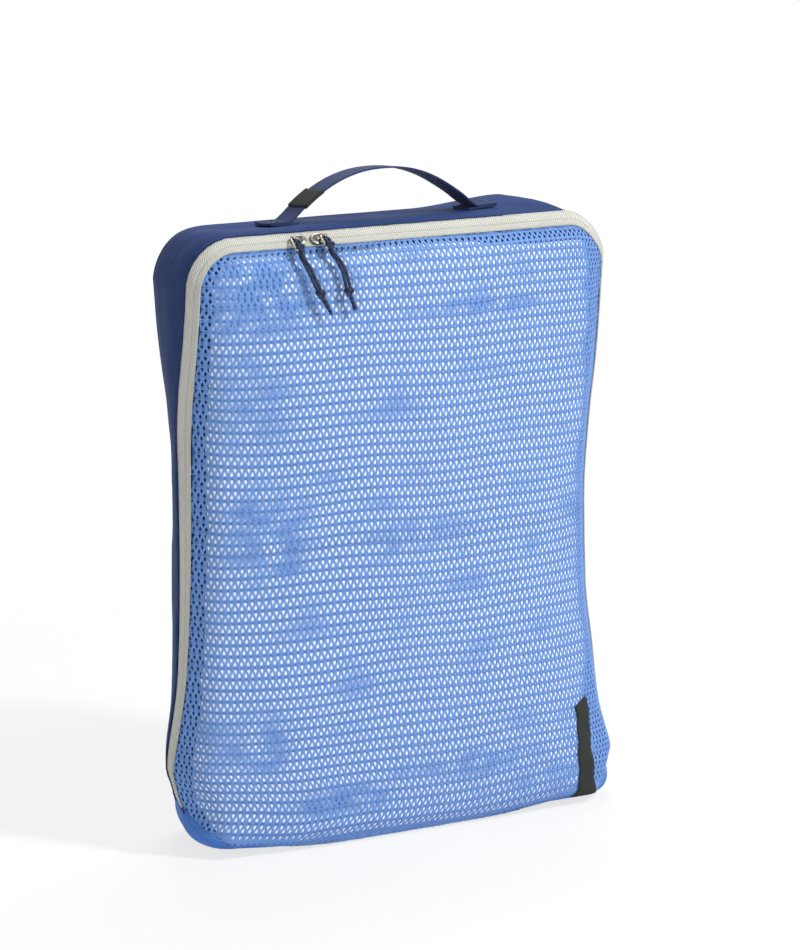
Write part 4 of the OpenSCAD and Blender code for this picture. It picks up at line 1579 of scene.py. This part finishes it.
def show_white(tree, lit, share, near=None):
    """Mixes a lit shader with plain white, by a share, for straight, mirrored and passing rays.

    The share is whole beyond a distance where one is given.
    """
    new, link = tree.nodes.new, tree.links.new
    path = new("ShaderNodeLightPath")
    seen = path.outputs["Is Camera Ray"]
    for name in ("Is Glossy Ray", "Is Transmission Ray"):
        either = new("ShaderNodeMath")
        either.operation = "MAXIMUM"
        link(seen, either.inputs[0])
        link(path.outputs[name], either.inputs[1])
        seen = either.outputs[0]
    part = new("ShaderNodeMath")
    part.operation = "MULTIPLY"
    part.inputs[1].default_value = share
    link(seen, part.inputs[0])
    if near:
        where = new("ShaderNodeTexCoord")
        away = new("ShaderNodeVectorMath")
        away.operation = "LENGTH"
        link(where.outputs["Object"], away.inputs[0])
        fade = new("ShaderNodeMapRange")
        fade.interpolation_type = "SMOOTHSTEP"
        for name, value in (("From Min", near), ("From Max", 3 * near), ("To Min", share), ("To Max", 1)):
            fade.inputs[name].default_value = value
        link(away.outputs["Value"], fade.inputs["Value"])
        link(fade.outputs[0], part.inputs[1])
    white = new("ShaderNodeEmission")
    mix = new("ShaderNodeMixShader")
    link(part.outputs[0], mix.inputs["Fac"])
    link(lit.outputs[0], mix.inputs[1])
    link(white.outputs[0], mix.inputs[2])
    return mix.outputs[0]


def backdrop():
    world = bpy.data.worlds.new("studio")
    scene.world = world
    world.use_nodes = True
    tree = world.node_tree
    sky = tree.nodes["Background"]
    sky.inputs["Color"].default_value = (1, 1, 1, 1)
    sky.inputs["Strength"].default_value = 0.27
    tree.links.new(show_white(tree, sky, 1), tree.nodes["World Output"].inputs["Surface"])


def floor():
    bm = bmesh.new()
    bmesh.ops.create_grid(bm, x_segments=1, y_segments=1, size=12)
    mesh = bpy.data.meshes.new("floor")
    bm.to_mesh(mesh)
    bm.free()
    ground = bpy.data.objects.new("floor", mesh)
    ground.location = (0, 0, -0.0002)
    scene.collection.objects.link(ground)
    material = bpy.data.materials.new("floor_white")
    material.use_nodes = True
    tree = material.node_tree
    shader = tree.nodes["Principled BSDF"]
    shader.inputs["Base Color"].default_value = (0.9, 0.9, 0.9, 1)
    shader.inputs["Roughness"].default_value = 0.9
    shader.inputs["Specular IOR Level"].default_value = 0
    tree.links.new(show_white(tree, shader, 0.75, 0.3), tree.nodes["Material Output"].inputs["Surface"])
    mesh.materials.append(material)


VIEW_TURN = math.radians(-28)
VIEW_RISE = math.radians(13.2)
VIEW_DISTANCE = 2.8
VIEW_CENTRE = Vector((0, 0, 0.222))
VIEW_LENS = 145.4
VIEW_SHIFT = (0.0236, 0.0521)


def photo_camera():
    lens = bpy.data.cameras.new("photo_view")
    lens.sensor_fit = "AUTO"
    lens.sensor_width = 36
    lens.lens = VIEW_LENS
    lens.shift_x, lens.shift_y = VIEW_SHIFT
    lens.clip_end = 50
    camera = bpy.data.objects.new("photo_view", lens)
    way = Vector(
        (
            math.sin(VIEW_TURN) * math.cos(VIEW_RISE),
            -math.cos(VIEW_TURN) * math.cos(VIEW_RISE),
            math.sin(VIEW_RISE),
        )
    )
    camera.location = VIEW_CENTRE + VIEW_DISTANCE * way
    camera.rotation_euler = (-way).to_track_quat("-Z", "Y").to_euler()
    scene.collection.objects.link(camera)
    scene.camera = camera


backdrop()
floor()
light("key", (1.4, -1.8, 2.5), 0.45, 82)
light("top", (0.5, 0.9, 2.5), 1.2, 28)
light("fill", (-2.2, -1.6, 1.1), 1.6, 12)
photo_camera()
scene.view_settings.view_transform = "Standard"
